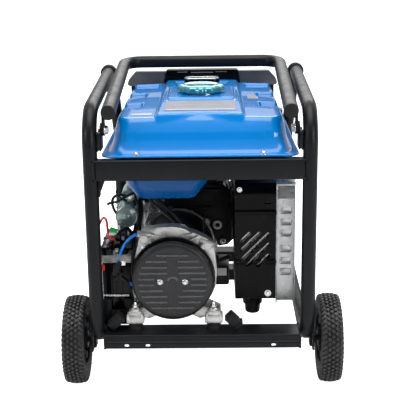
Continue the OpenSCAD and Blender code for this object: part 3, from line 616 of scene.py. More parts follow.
def cross_members():
    plate = Shape()
    section = outline(-13.5, 15.5, 493.5, 538.5, 4, 5)
    # The outline is about X, where local x is -Z and local y is across the depth
    plate.prism([(-z, b) for b, z in section], -221.5, 221.5, "x", (0, 0, 0))
    notch = Shape()
    for s in (-1, 1):
        notch.rod("z", (s * LEG_X, 0, 440), 160, TUBE_R - 0.2, 0, 48)
    plate.piece("near_cross_tube", POWDER, slot="frame_paint", replaces="top_cross_plate", cut=notch,
            angle=30)
    Shape().box((-218, -9, 458), (-214.6, 9, 494), 1).piece("gusset_edge", POWDER, slot="frame_paint")
    Shape().prism([(-218, -494), (-203, -494), (-217, -458)], -6, -3, "y").piece("gusset_fin", POWDER,
            slot="frame_paint")
    # Near lower member: one folded sheet, drawn as its section pushed across
    half = 217.6
    mid = [(51, 125), (51, 139), (-10.5, 139), (-12.5, 137), (-12.5, 126), (-17.5, 124.5), (-17.5, 111.5)]
    path = rounded([Vector((b, z, 0)) for b, z in mid], 3.2, 5)
    skirt = Shape()
    ribbon(skirt, path, 1.5, -half, half)
    holes = Shape()
    for x in (-168, -121, 158):
        holes.capsule((x - 2.2, -30, 118.5), (x + 2.2, -30, 118.5), 3.2, (1, 12, 1))
    for s in (-1, 1):
        holes.rod("z", (CRANK_X + s * FOOT_DX, MOUNT_B, 125), 30, 5.1, 0, 32)
    skirt.piece("near_lower_member", POWDER, slot="frame_paint", replaces="bottom_cross_near", cut=holes,
            angle=40)


def ribbon(shape, path, half_t, x0, x1):
    """A folded sheet: a path in (behind, up), thickened by half_t each way and pushed from x0 to x1."""
    pts = [Vector((p[0], p[1])) for p in path]
    left, right = [], []
    for i, p in enumerate(pts):
        a = pts[max(i - 1, 0)]
        b = pts[min(i + 1, len(pts) - 1)]
        d = (b - a).normalized()
        n = Vector((-d.y, d.x))
        left.append(p + n * half_t)
        right.append(p - n * half_t)
    ring = left + right[::-1]
    part = bmesh.new()
    low = [part.verts.new((x0, p.x, p.y)) for p in ring]
    high = [part.verts.new((x1, p.x, p.y)) for p in ring]
    skin(part, [low, high])
    n = len(ring)
    for i in range(len(pts) - 1):
        part.faces.new([low[i + 1], low[i], low[n - 1 - i], low[n - 2 - i]])
        part.faces.new([high[i], high[i + 1], high[n - 2 - i], high[n - 1 - i]])
    shape.merge(part)


def hinge_parts():
    plates = Shape()
    bolts = Shape()
    for s in (-1, 1):
        x = s * 210.4
        pts = arc_points((HINGE_B, HINGE_Z), 15, range(-20, 181, 10))
        pts += [(-8, 558), (35, 558)]
        plates.plate(pts, x - 2, x + 2)
        plates.box((min(x, s * 217.5), -7, 559), (max(x, s * 217.5), 7, 596), 1.5)
        inward = "x" if s < 0 else (-1, 0, 0)
        bolts.bolt(inward, (s * 202.6, HINGE_B, HINGE_Z), 9.4, 7)
        bolts.rod("x", (min(s * 203, s * 217), HINGE_B, HINGE_Z), 14, 5.9)
        outward = (-1, 0, 0) if s < 0 else (1, 0, 0)
        bolts.bolt(outward, (s * 212.6, HINGE_B, HINGE_Z), 5, 4, washer=False)
    plates.piece("hinge_plates", POWDER, slot="frame_paint", replaces="handle_brackets", bevel=0.6)
    bolts.piece("hinge_bolt_set", ZINC, slot="zinc", replaces="hinge_bolts")


# ------------------------------------------------------------------ pull handle

def handle():
    end = Vector((193.5, 12, 637))
    far = Vector((208, HINGE_B + 580, 673))
    corners = [Vector((-end.x, end.y, end.z)), Vector((-far.x, far.y, far.z)), far, end]
    shape = Shape()
    shape.tube(rounded(corners, 48, 14), TUBE_R, 40)
    for s in (-1, 1):
        x = s * 205.5
        pts = arc_points((HINGE_B, HINGE_Z), 13, range(180, 361, 12))
        pts += [(38, 636), (12, 636)]
        shape.plate(pts, x - 2.4, x + 2.4)
        weld_bead(shape, [(x - s * 2.5, b, 622) for b in range(14, 38, 3)], 1.8)
    shape.piece("handle_tube", POWDER, "pull_handle", "frame_paint", "handle_frame", angle=50)
    plugs = Shape()
    for s in (-1, 1):
        profile = [(0, 0.6), (9, 0.2), (14, 0.6), (15.6, 1.8), (15.9, 4.5), (13.6, 5.0), (13.6, 12),
                (0, 12)]
        plugs.lathe("y", (s * 193.5, 7.2, 636.6), profile, 48)
    plugs.piece("handle_end_plugs", RUBBER, "pull_handle", "rubber", "handle_plugs")


# ------------------------------------------------------------------ wheels

def tyre(s, side):
    """Ring with stepped sidewalls and staggered diamond blocks."""
    mid = s * (WHEEL_IN + WHEEL_W / 2)
    shape = Shape()
    base = WHEEL_R - 5.5
    half = WHEEL_W / 2
    edge = [(62, half - 8), (66, half - 4), (70, half - 1.5), (78, half - 0.4), (82, half - 1.4),
            (84, half - 0.6), (88, half - 1.0), (90.5, half - 3), (93, half - 5.5), (base, half - 10)]
    profile = edge + [(r, -h) for r, h in reversed(edge)]
    profile.append(edge[0])
    shape.lathe("x", (mid, AXLE_B, WHEEL_R), profile, 120)
    count = 54
    rows = [-17, -8.5, 0, 8.5, 17]
    for i, across in enumerate(rows):
        for j in range(count):
            a = 2 * math.pi * (j + 0.5 * (i % 2)) / count
            block(shape, mid, a, across, base, 4.9 if abs(across) < 15 else 4.2, 5.6)
    # Shoulder lugs that run down the sidewall
    for flip in (-1, 1):
        for j in range(count):
            a = 2 * math.pi * (j + 0.25) / count
            turn = placed_turn((mid, AXLE_B, WHEEL_R), a, "X")
            shape.box((flip * (half - 5.2) - 3.6, -2.6, 88), (flip * (half - 5.2) + 3.6, 2.6, 97.2), 1.1,
                    turn, 1)
    shape.piece(f"tyre_tread_{side}", TYRE, f"wheel_{side}", "tyre", f"tyre_{side}", angle=30, weld=False)


def block(shape, mid, angle, across, base, half_x, half_t):
    """One diamond tread block on the tyre's crown, with sloping sides."""
    part = bmesh.new()
    drop = (abs(across) / 17) ** 2 * 2.4
    plan = [(half_x, 0), (0, half_t), (-half_x, 0), (0, -half_t)]
    rings = []
    for scale, r in ((1.0, base - 2 - drop), (0.92, WHEEL_R - 1.0 - drop), (0.78, WHEEL_R - 0.15 - drop)):
        rings.append([part.verts.new((across + x * scale, t * scale, r)) for x, t in plan])
    skin(part, rings)
    part.faces.new(rings[-1])
    part.faces.new(list(reversed(rings[0])))
    shape.merge(part, placed_turn((mid, AXLE_B, WHEEL_R), angle, "X"))


def rim(s, side):
    """Moulded rim with six ribs and round windows."""
    out = "x" if s > 0 else (-1, 0, 0)
    place = (s * WHEEL_IN, AXLE_B, WHEEL_R)
    shape = Shape()
    shape.lathe(out, place, [(8.05, 0.4), (19, 0.4), (20, 1.4), (20, 39), (18.5, 39.8), (8.05, 39.8),
            (8.05, 0.4)], 64)
    barrel = [(61.9, 3), (61.9, 47), (59, 48.5), (56.5, 47), (56.5, 30), (54, 25), (54, 22), (56.5, 17),
            (56.5, 3), (59, 1.6), (61.9, 3)]
    shape.lathe(out, place, barrel, 96)
    disc = [(19, 19), (30, 16.5), (48, 17.5), (57, 20), (57, 25), (48, 22.5), (30, 21.5), (19, 24),
            (19, 19)]
    holes = Shape()
    shape.lathe(out, place, disc, 96)
    turn = along(out, place)
    for k in range(6):
        spoke = turn @ Matrix.Rotation(math.radians(60 * k), 4, "Z")
        shape.box((17, -3, 12), (57.5, 3, 38), 1.6, spoke)
        spot = turn @ Matrix.Rotation(math.radians(60 * k + 30), 4, "Z") @ Vector((39, 0, 5))
        holes.rod(out, spot, 30, 8.5, 0, 40)
    shape.piece(f"rim_ribbed_{side}", PLASTIC, f"wheel_{side}", "black_plastic", f"rim_{side}", cut=holes,
            angle=35)
    valve = Shape()
    spot = turn @ Matrix.Rotation(math.radians(75), 4, "Z") @ Vector((52, 0, 21))
    valve.lathe(out, spot, [(0, 0), (4, 0), (3.6, 8), (2.6, 9), (2.6, 15), (3.2, 15.5), (3.2, 22),
            (0, 22.6)], 24)
    valve.piece(f"valve_stem_{side}", RUBBER, f"wheel_{side}", "rubber")


def wheels():
    for s, side in ((-1, "left"), (1, "right")):
        tyre(s, side)
        rim(s, side)


# ------------------------------------------------------------------ fuel tank

def smooth(t):
    t = min(1.0, max(0.0, t))
    return t * t * (3 - 2 * t)


def inset(x, b, x0, x1, b0, b1, r):
    """Distance inside a rounded rectangle, negative outside."""
    cx, cb = (x0 + x1) / 2, (b0 + b1) / 2
    dx = abs(x - cx) - ((x1 - x0) / 2 - r)
    db = abs(b - cb) - ((b1 - b0) / 2 - r)
    out = math.hypot(max(dx, 0), max(db, 0)) + min(max(dx, db), 0) - r
    return -out


def tank_height(x, b):
    """Height of the upper tank shell over the seam flange's plan."""
    near = 13 + 3 * smooth((abs(x) - 110) / 60)
    # The near wall leans over 41 mm, the side walls over 16 and the far wall over 14
    across = abs(x) - 11 if abs(x) < 180 else 196 - (196 - abs(x)) * 27 / 16
    bb = near + (b - near) * 0.66 if b < near + 54 else b - 18.4
    if b > 582:
        bb = 590.6 - (596 - b) * 27 / 14
    d = inset(across, bb, -196, 196, near, 590.6, 34)
    high = inset(across, bb, -196, 196, near, 590.6, 58) if b < 300 else d
    climb = min(1.0, max(0.0, d / 27))
    wall = (d * (1 - climb) + high * climb) / 27
    k = 0.16
    t = (wall + math.sqrt(wall * wall + k * k) - k * 0.6) / 2 if wall < 0.5 else 1 - (
        (1 - wall) + math.sqrt((1 - wall) ** 2 + k * k) - k * 0.6) / 2
    z = SEAM_Z + 1.5 + (TANK_TOP - 3 - SEAM_Z) * min(1.0, max(0.0, t))
    top = smooth((high - 22) / 12)
    z += top * (4.0 - 3.5 * (x / 190) ** 2)
    # Raised middle panel with a faceted near end, then the cap's platform
    mid = inset(x, b + abs(x) * 0.10, -97, 97, 60, TANK_L - 20, 10)
    z += 8.5 * smooth((mid + 2) / 9)
    z += 6.0 * smooth(inset(x, b, -82, 82, 228, 424, 12) / 7)
    z -= 4.0 * smooth(inset(x, b, -70, 70, 440, 545, 10) / 7)
    # Pockets pressed in from the shoulders' outer edges
    for b0, b1, reach in ((196, 262, 134), (340, 410, 134), (480, 566, 108)):
        pocket = inset(abs(x), b, reach, 260, b0, b1, 9)
        z -= 11.0 * smooth(pocket / 8) * smooth((d - 2) / 11)
    return z


def draped(spans, count, lift=0.0):
    """A sheet over the tank's top, from rows of (behind, lowest across, highest across)."""
    part = bmesh.new()
    grid = []
    for b, lo, hi in spans:
        across = [lo + (hi - lo) * i / count for i in range(count + 1)]
        grid.append([part.verts.new((x, b, tank_height(x, b) + lift)) for x in across])
    for near, far in zip(grid, grid[1:]):
        for i in range(count):
            part.faces.new([near[i], near[i + 1], far[i + 1], far[i]])
    return Shape().merge(part)


def tank():
    spans = []
    for j in range(221):
        b = -4 + (TANK_L + 4) * j / 220
        edge = min(b + 4, TANK_L - b)
        half = FLANGE_HALF - (24 - math.sqrt(max(0.0, 24 ** 2 - (24 - edge) ** 2)) if edge < 24 else 0)
        spans.append((b, -half, half))
    obj = draped(spans, 150).piece("tank_upper_pressing", ENAMEL, slot="tank_blue",
            replaces="tank_upper_shell", angle=60, sheet=True)
    solid = obj.modifiers.new("sheet", "SOLIDIFY")
    solid.thickness = 1.6 * MM
    solid.offset = -1
    # Rolled seam round the edge of both flanges
    rim_line = [Vector((x, b, SEAM_Z - 0.5)) for x, b in outline(-FLANGE_HALF + 1, FLANGE_HALF - 1, -3,
            TANK_L - 1, 23, 8)]
    Shape().tube(rim_line, 2.6, 10, closed=True).piece("tank_seam", ENAMEL, slot="tank_blue", angle=60)
    lower = Shape()
    rings = []
    for z, x0, x1, b0, b1, r in ((543.5, -FLANGE_HALF + 2, FLANGE_HALF - 2, -2, TANK_L - 2, 22),
            (541.5, -190, 190, 18, 578, 32), (538, -189, 189, 20, 576, 32),
            (524, -188, 188, 22, 574, 32), (512, -183, 165, 30, 560, 34),
            (474, -169, 20, 62, 486, 34), (460, -166, 10, 67, 480, 32),
            (438, -150, -6, 78, 466, 26), (430, -144, -12, 84, 462, 22),
            (427.5, -138, -16, 90, 456, 18)):
        rings.append([(x, b, z) for x, b in outline(x0, x1, b0, b1, r, 8)])
    lower.loft(rings)
    # The lower shell takes the enamel darkened as painted shade
    lower.piece("tank_lower_pressing", ENAMEL_PAINTED_SHADE, slot="tank_blue", replaces="tank_lower_shell",
            angle=28)
    pads = Shape()
    bolts = Shape()
    for s in (-1, 1):
        for b in (5, TANK_L - 10):
            pads.lathe("z", (s * TANK_BOLT_X, b, 539), [(0, 0), (9, 0), (9.6, 1), (8, 2), (8, 3), (0, 3)],
                    32)
            bolts.bolt("z", (s * TANK_BOLT_X, b, SEAM_Z + 1.4), 6.4, 5)
            bolts.lathe("z", (s * TANK_BOLT_X, b, SEAM_Z + 0.8), [(0, 0), (7.9, 0), (7.9, 1), (0, 1)], 40)
    pads.piece("tank_pads", RUBBER, slot="rubber")
    bolts.piece("tank_bolt_set", ZINC, slot="zinc", replaces="tank_bolts")


def tank_top_trim():
    cap = Shape()

    def scallop(angle, i):
        return 1 + (0.035 * math.cos(12 * angle) if 1 < i < 8 else 0)

    z = TANK_TOP + 19.4
    cap.lathe("z", (0, CAP_B, z), [(0, 0), (46, 0), (53, 0.6), (55, 2.5), (55.4, 6), (54.6, 11), (52, 14.5),
            (47, 16.6), (43, 17.4), (40, 17.0), (37, 15.6), (30, 15.4), (12, 16), (0, 16.2)], 144, scallop)
    cap.box((-34, 305, z + 14), (34, 319, z + 18.2), 3)
    cap.piece("fuel_cap_scalloped", CAP_BLUE, "cap", "cap_blue", "fuel_cap", angle=40)
    Shape().lathe("z", (0, CAP_B, TANK_TOP + 8), [(60, 0), (58, 6), (50, 8.4), (44, 9.4), (40, 10.8),
            (36, 10.8), (36, -20)], 96).piece("filler_collar", ENAMEL, slot="tank_blue")
    ring = Shape()
    ring.lathe("z", (0, CAP_B, TANK_TOP + 16.1), [(36, 0), (44, 0), (44, 2.9), (36, 2.9), (36, 0)], 96)
    ring.lathe("z", (0, CAP_B, TANK_TOP - 58), [(36, 0), (38, 0), (38, 76), (36, 76), (36, 0)], 96)
    ring.piece("filler_ring", ZINC, slot="zinc", replaces="filler_neck")
    pod = Shape()
    base = TANK_TOP + 9.1
    pod.loft([[(x, GAUGE_B + b, base + z) for x, b in outline(-46 + k, 46 - k, -19 + k, 19 - k, 18 - k, 8)]
            for z, k in ((0, 0), (11, 0), (14, 1.5), (15.5, 4))])
    pod.piece("gauge_pod", GLOSSY, slot="black_plastic", replaces="fuel_gauge", angle=40)
    Shape().tube([(x, GAUGE_B + b, base + 14.2) for x, b in outline(-43.5, 43.5, -16.5, 16.5, 15.5, 8)],
            2.0, 10, closed=True).piece("gauge_bezel", ZINC, slot="zinc", angle=60)
    Shape().loft([[(x, GAUGE_B + b, base + z) for x, b in outline(-39, 39, -13, 13, 12, 8)] for z in (15.2,
            15.7)]).piece("gauge_face", PLASTIC)
    needle = Shape()
    needle.box((-1, 508, base + 15.8), (1, 526, base + 16.3), 0.2, turned((0, GAUGE_B, 0), 0.7, "Z"))
    for k in range(-3, 4):
        needle.box((k * 9 - 0.6, 524, base + 15.7), (k * 9 + 0.6, 528, base + 16.1), 0.1)
    needle.piece("gauge_marks", LABEL_PALE)
    decal("front_plate", LABEL, -80, 80, 88, 222, 0.5, 4)
    decal("plate_stripe", LABEL_PALE, -76, 76, 92, 104, 0.9, 2)
    decal("plate_rule", LABEL_PALE, -60, 60, 160, 163, 0.9, 1)
    decal("side_sticker", LABEL_PALE, -152, -106, 90, 112, 0.5, 3)
    decal("far_sticker", LABEL, 112, 138, 300, 360, 0.5, 3)


def decal(name, material, x0, x1, b0, b1, lift, r):
    """A thin label that follows the tank's top."""
    nx, nb = max(4, int((x1 - x0) / 5)), max(3, int((b1 - b0) / 4))
    spans = []
    for j in range(nb + 1):
        b = b0 + (b1 - b0) * j / nb
        edge = min(b - b0, b1 - b)
        trim = r - math.sqrt(max(0, r * r - (r - edge) ** 2)) if edge < r else 0
        spans.append((b, x0 + trim, x1 - trim))
    draped(spans, nx, lift).piece(name, material, angle=60, sheet=True)


# ------------------------------------------------------------------ alternator end

def end_cover():
    """Dished grey cover with rows of pressed louvres, an arc over the middle and two bolts."""
    shape = Shape()
    dish = [(0, 0.9), (22, 0.7), (60, 0.3), (80, 0.4), (86, 1.3), (89.2, 3.0), (90.6, 6), (91, 10), (91,
            15), (88.6, 15), (88.4, 8), (85, 4.6), (0, 4.2)]
    shape.lathe("y", (COVER_X, COVER_B, COVER_Z), dish, 128)
    shape.piece("louvred_cover", DARK_GREY, slot="black_plastic", replaces="end_cover", angle=45,
            weld=False)
    ridges = Shape()
    for i in range(10):
        z = COVER_Z + 63 - 13.8 * i
        outer = math.sqrt(79 ** 2 - (z - COVER_Z) ** 2) - 4
        if i in (0, 9):
            spans = [(-outer + 10 * (i == 0), outer - 10 * (i == 0))]
        else:
            inner = 43 if i in (4, 5) else (24 if i == 6 else 14)
            spans = [(-outer, -inner), (inner, outer)]
        for x0, x1 in spans:
            ridges.capsule((COVER_X + x0, COVER_B + 0.2, z), (COVER_X + x1, COVER_B + 0.2, z), 2.6,
                    (1, 1.4, 0.9), 16)
    arc = [(COVER_X + 11 * math.cos(math.radians(t)), COVER_B + 0.4,
            COVER_Z + 3 + 9 * math.sin(math.radians(t))) for t in range(12, 169, 12)]
    ridges.tube(arc, 2.6, 12)
    # The ridges take the lighter grey, a painted highlight on the pressed louvres
    ridges.piece("cover_louvres", LOUVRE_PAINTED_HIGHLIGHT, slot="black_plastic", angle=50, weld=False)
    bolts = Shape()
    head = [(0, 0), (6.6, 0), (6.9, 0.7), (6.2, 1.4), (5.4, 1.8), (5.1, 3.6), (4.2, 4.6), (2, 5), (0, 5)]
    for s in (-1, 1):
        bolts.lathe(TOWARD, (COVER_X + s * 28, COVER_B + 0.6, COVER_Z), head, 40)
    bolts.piece("cover_bolts", ZINC, slot="zinc")
    ring = Shape()
    wall = [(88, 0), (91.2, 0), (91.4, 11), (94.5, 12), (95.5, 13.5), (95.5, 23), (94.5, 25), (88, 25),
            (88, 0)]
    ring.lathe("y", (COVER_X, COVER_B + 15, COVER_Z), wall, 128)
    ring.piece("shadow_ring", GLOSSY)


def cast_bracket():
    """Cast end bracket: a shouldered arch with bosses and ribs, on two arms with feet."""
    face = [(-96, -8), (-95, 22), (-88, 50), (-80, 70), (-79, 92), (-74, 103), (-58, 110), (-34, 113), (-4,
            115), (14, 114), (23, 107), (34, 103), (47, 99), (60, 93), (72, 88), (84, 78), (90, 66), (90,
            48), (94, 30), (96, 8), (94, -24), (84, -48)]
    face += [(96 * math.sin(math.radians(a)), -96 * math.cos(math.radians(a))) for a in range(52, -53, -8)]
    face += [(-84, -48), (-94, -26)]
    shape = Shape()
    shape.prism(facing(face), 0, 30, "y", (CRANK_X, 70, CRANK_Z), bevel=2.5)
    hollow = Shape()
    hollow.rod("y", (CRANK_X, 80, CRANK_Z), 40, 82, 0, 96)
    for dx, dz, r in ((-50, 90, 7), (-22, 98, 8), (36, 88, 6), (60, 72, 7)):
        hollow.rod("y", (CRANK_X + dx, 60, CRANK_Z + dz), 16, r, 0, 24)
    shape.piece("bracket_arch", CAST, slot="cast_alu", replaces="end_bracket", cut=hollow, angle=30)
    extra = Shape()
    # Horizontal bosses, ribs and machined lugs on the arch
    extra.rod((-1, 0, 0), (CRANK_X - 52, 74, CRANK_Z + 97), 30, 8.4, 1.2)
    extra.rod((1, -0.1, -0.35), (CRANK_X + 58, 74, CRANK_Z + 82), 34, 7.4, 1.2)
    extra.rod("y", (CRANK_X - 68, 62, CRANK_Z + 88), 12, 9.5, 1.2)
    extra.rod("y", (CRANK_X + 76, 62, CRANK_Z + 70), 12, 9, 1.2)
    for dx, dz, turn in ((-60, 84, 38), (-44, 96, 20), (44, 88, -28), (64, 72, -44), (30, 97, -12)):
        tilt = placed_turn((CRANK_X + dx, 66, CRANK_Z + dz), math.radians(turn))
        extra.box((-12, -3, -2), (12, 6, 2), 1.5, tilt)
    for s in (-1, 1):
        x = CRANK_X + s * FOOT_DX
        arm = [(s * 104, -80), (s * 66, -62), (s * 40, -84), (s * 58, -92), (s * 70, -86), (s * 100, -88)]
        pts = [(px, -pz) for px, pz in arm]
        extra.prism(pts if s < 0 else pts[::-1], 0, 62, "y", (CRANK_X, 36, CRANK_Z), bevel=2)
        extra.box((x - 20, 9, 158), (x + 20, 45, 177), 4)
        extra.box((x - 15, 12, 175), (x + 15, 42, 187), 4.5)
        extra.box((x - s * 4 - 12, 30, 168), (x - s * 4 + 12, 72, 186), 5)
        extra.rod("z", (x, MOUNT_B, 184), 7, 10.5, 1.5)
        for k in (-1, 1):
            extra.box((x + k * 15 - 2, 8, 160), (x + k * 15 + 2, 20, 183), 1.5)
    extra.piece("bracket_feet", CAST, slot="cast_alu", angle=30, weld=False)
    cups = Shape()
    nuts = Shape()
    for s in (-1, 1):
        x = CRANK_X + s * FOOT_DX
        cups.lathe("z", (x, MOUNT_B, 139.8), [(0, 0), (20, 0), (20, 1.6), (17, 2.2), (17.4, 7), (16, 10),
                (16, 14), (17, 16), (16, 18), (0, 18)], 48)
        nuts.bolt("z", (x, MOUNT_B, 190.8), 7.4, 6.5)
        nuts.rod("z", (x, MOUNT_B, 190), 15, 4, 0.8, 24)
    cups.piece("bonded_mounts", RUBBER, slot="rubber", angle=35)
    nuts.piece("mount_nuts", ZINC, slot="zinc")
    buffers = Shape()
    for s in (-1, 1):
        spin = placed_turn((CRANK_X + s * 132, 24, 161), s * math.radians(45))
        buffers.box((-18, -15, -11), (10, 15, 11), 2.5, spin)
        buffers.box((8, -14, -10), (13, 14, 10), 1.5, spin)
        buffers.box((12, -16, -12.5), (18.5, 16, 12.5), 3, spin)
    for s in (-1, 1):
        x = CRANK_X + s * 75
        buffers.lathe("z", (x, 450, 140.2), [(0, 0), (16, 0), (16, 2), (13, 5), (13, 8), (5, 9), (5, 39),
                (0, 39)], 40)
    buffers.piece("rubber_buffers", RUBBER, slot="rubber", replaces="rubber_mounts", angle=35)


def stator_details():
    """Through bolts and end windings of the alternator."""
    rods = Shape()
    for a in (45, 135, 225, 315):
        x = CRANK_X + 94 * math.cos(math.radians(a))
        z = CRANK_Z + 94 * math.sin(math.radians(a))
        rods.rod("y", (x, 66, z), 262, 3, 0.5, 16)
        rods.bolt(TOWARD, (x, 68, z), 5.4, 4)
    rods.piece("stator_bolts", ZINC, slot="zinc")
    coils = Shape()
    for k in range(24):
        a = 2 * math.pi * k / 24
        mid = Vector((CRANK_X + 74 * math.cos(a), 296, CRANK_Z + 74 * math.sin(a)))
        lean = Vector((10 * math.cos(a + 1.3), 9, 10 * math.sin(a + 1.3)))
        coils.capsule(mid, mid + lean, 5.2, sides=10)
    coils.piece("end_windings", COPPER, slot="copper", angle=50, weld=False)


# ------------------------------------------------------------------ engine

def engine_front():
    """What shows over the alternator: black shroud, bright guard arc, bosses, bolts and case ribs."""
    shroud = Shape()
    plate = [(-104, 346), (-104, 380), (-60, 398), (-10, 404), (50, 400), (78, 380), (80, 262), (62, 244),
            (40, 240), (30, 262), (16, 300), (-10, 322), (-44, 338), (-74, 344)]
    shroud.prism(facing(plate), 0, 12, "y", (0, 318, 0), bevel=2)
    for k in range(6):
        shroud.box((30 + k * 8, 312, 352 - k * 5), (33 + k * 8, 322, 396), 1)
    shroud.box((-60, 309, 384), (60, 321, 392), 3)
    shroud.box((62, 306, 262), (74, 324, 350), 4)
    shroud.box((-30, 311, 340), (24, 320, 346), 2)
    shroud.piece("fan_shroud", PLASTIC, slot="black_plastic", angle=35, weld=False)
    arc = flowing([(-80, 312, 330), (-62, 312, 336), (-44, 312, 333), (-24, 312, 325), (-8, 312, 315),
            (6, 311, 305)], 5)
    tail = flowing([(8, 311, 302), (14, 311, 290), (22, 312, 278), (27, 313, 262), (28, 314, 246)], 5)
    guard = Shape()
    guard.tube(arc, 5.0, 12)
    guard.tube([p + Vector((0, 3, -7)) for p in arc], 2.2, 12)
    guard.tube(tail, 4.2, 12)
    guard.lathe(TOWARD, (8, 318, 305), [(0, 0), (10, 0), (10.5, 1), (10.5, 8), (9.5, 9.4), (5, 9.4),
            (0, 9.4)], 40)
    guard.box((-2, 308, 278), (4, 316, 300), 2)
    guard.lathe(TOWARD, (37, 317, 298), [(5, 0), (11, 0), (11.6, 1), (11.6, 7), (10.6, 8), (6, 8), (5, 7),
            (5, 0)], 40)
    guard.lathe(TOWARD, (50, 317, 255), [(0, 0), (7.5, 0), (7.5, 5), (6.6, 6), (0, 6)], 32)
    guard.piece("guard_arc", CAST, slot="cast_alu", angle=40, weld=False)
    case = Shape()
    for x, z, r in ((-128, 334, 8), (-112, 352, 6), (-140, 300, 7), (-98, 362, 7), (-126, 372, 6)):
        case.lathe(TOWARD, (x, 336, z), [(0, 0), (r, 0), (r, 14), (r - 1.2, 15.2), (0, 15.2)], 28)
    for x0, z0, x1, z1 in ((-136, 340, -120, 378), (-122, 330, -106, 372), (-108, 330, -100, 366),
            (-146, 300, -130, 344)):
        case.capsule((x0, 326, z0), (x1, 326, z1), 3.6, (1, 1.3, 1), 12)
    case.box((-148, 322, 262), (-136, 336, 330), 4)
    case.box((-140, 318, 286), (-104, 336, 298), 4)
    case.box((-150, 308, 268), (-140, 334, 282), 3)
    case.box((-134, 328, 346), (-94, 342, 376), 5)
    case.piece("case_bosses", CAST, slot="cast_alu", angle=35, weld=False)
    bolts = Shape()
    for x, z in ((-128, 334), (-112, 352), (-140, 300), (-98, 362), (-126, 372)):
        bolts.bolt(TOWARD, (x, 320.8, z), 4.6, 4)
    bolts.bolt(TOWARD, (8, 308.6, 305), 4.6, 4)
    bolts.lathe(TOWARD, (50, 311, 255), [(0, 0), (4.4, 0), (4.4, 3), (2.2, 4.4), (0, 4.4)], 24)
    bolts.piece("case_bolts", ZINC, slot="zinc")
    sump = Shape()
    sump.box((8, 322, 133), (66, 420, 186), 6)
    sump.box((20, 316, 186), (40, 330, 214), 3)
    sump.box((40, 314, 196), (74, 326, 206), 4, turned((40, 0, 200), math.radians(-22)))
    sump.piece("regulator_box", PLASTIC, slot="black_plastic", angle=35, weld=False)
    Shape().box((36, 321.2, 160), (59, 322.2, 180), 0.4).piece("blank_sticker", WHITE)


def engine_back():
    """Bolts, grip, filter clips, plug lead and the other things round the engine."""
    bolts = Shape()
    for k in range(6):
        a = math.radians(60 * k + 30)
        bolts.bolt("y", (CRANK_X + 104 * math.cos(a), 548, CRANK_Z + 104 * math.sin(a)), 5, 4)
    for k in range(4):
        a = math.radians(90 * k + 15)
        bolts.bolt("y", (CRANK_X + 89 * math.cos(a), 549, CRANK_Z + 89 * math.sin(a)), 4, 4)
    bolts.piece("shroud_bolts", ZINC, slot="zinc")
    boss = (CRANK_X + 58, 548, CRANK_Z + 50)
    grip = Shape()
    turn = placed_turn((boss[0], 595, boss[2]), math.radians(30))
    grip.loft([[turn @ Vector((x, h, z)) for x, z in outline(-42 + k, 42 - k, -9 + k, 9 - k, 8.8 - k, 6)]
            for h, k in ((0, 5), (1.5, 2), (5, 0.4), (10, 0), (18, 0), (23, 1), (25.2, 4))])
    grip.rod("y", (boss[0], 568, boss[2]), 28, 4.2, 0.8, 20)
    grip.piece("pull_grip", RUBBER, "recoil_handle", "black_plastic", "recoil_grip", angle=35)
    cord = Shape().tube([(boss[0], b, boss[2]) for b in range(556, 594, 2)], 2.4, 10).piece("starter_rope",
            WIRE_BLACK, None)
    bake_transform(cord)
    clips = Shape()
    for x in (104, 186):
        for b in (379, 515):
            clips.box((x - 5, b - 3 if b < 400 else b - 1, 448), (x + 5, b + 1 if b < 400 else b + 3, 478),
                    1)
    clips.lathe("z", (146, 447, 480), [(0, 0), (11, 0), (11, 2), (5, 3), (5, 7), (9, 8), (9, 12),
            (0, 12.5)], 32)
    clips.piece("filter_clips", ZINC, slot="zinc")
    cup = Shape()
    cup.loft([[(x, b, z) for x, b in outline(85 + k, 205 - k, 373 + k, 521 - k, 18, 6)]
            for z, k in ((392.6, 6), (396, 1.5), (400, 0), (462, 0), (467, 2))])
    cup.loft([[(x, b, z) for x, b in outline(84 + k, 208 - k, 378 + k, 514 - k, 14, 6)]
            for z, k in ((467, 0), (474, 0), (479, 3), (479.9, 8))])
    for k in range(7):
        cup.box((96 + k * 16, 392, 479), (102 + k * 16, 502, 481.6), 1)
    cup.piece("filter_housing", PLASTIC, slot="black_plastic", replaces="air_filter_box", angle=35,
            weld=False)
    lean = placed_turn((CRANK_X, 408, CRANK_Z), math.radians(65))
    lead = Shape()
    lead.capsule(lean @ Vector((-30, 34, 194)), lean @ Vector((-30, 40, 222)), 8)
    lead.tube(flowing([lean @ Vector((-30, 40, 224)), lean @ Vector((-60, 60, 226)), lean @ Vector((-96, 84,
            200)), (96, 540, 372), (40, 540, 368), (20, 520, 372)], 8), 3.6, 12)
    lead.piece("plug_lead", WIRE_BLACK)
    nuts = Shape()
    for x, y in ((-36, -28), (-36, 28), (36, -28), (36, 28)):
        nuts.bolt(lean.to_3x3() @ Vector((0, 0, 1)), lean @ Vector((x, y, 218)), 4.6, 4)
    nuts.piece("cover_nuts", ZINC, slot="zinc")


# ------------------------------------------------------------------ exhaust

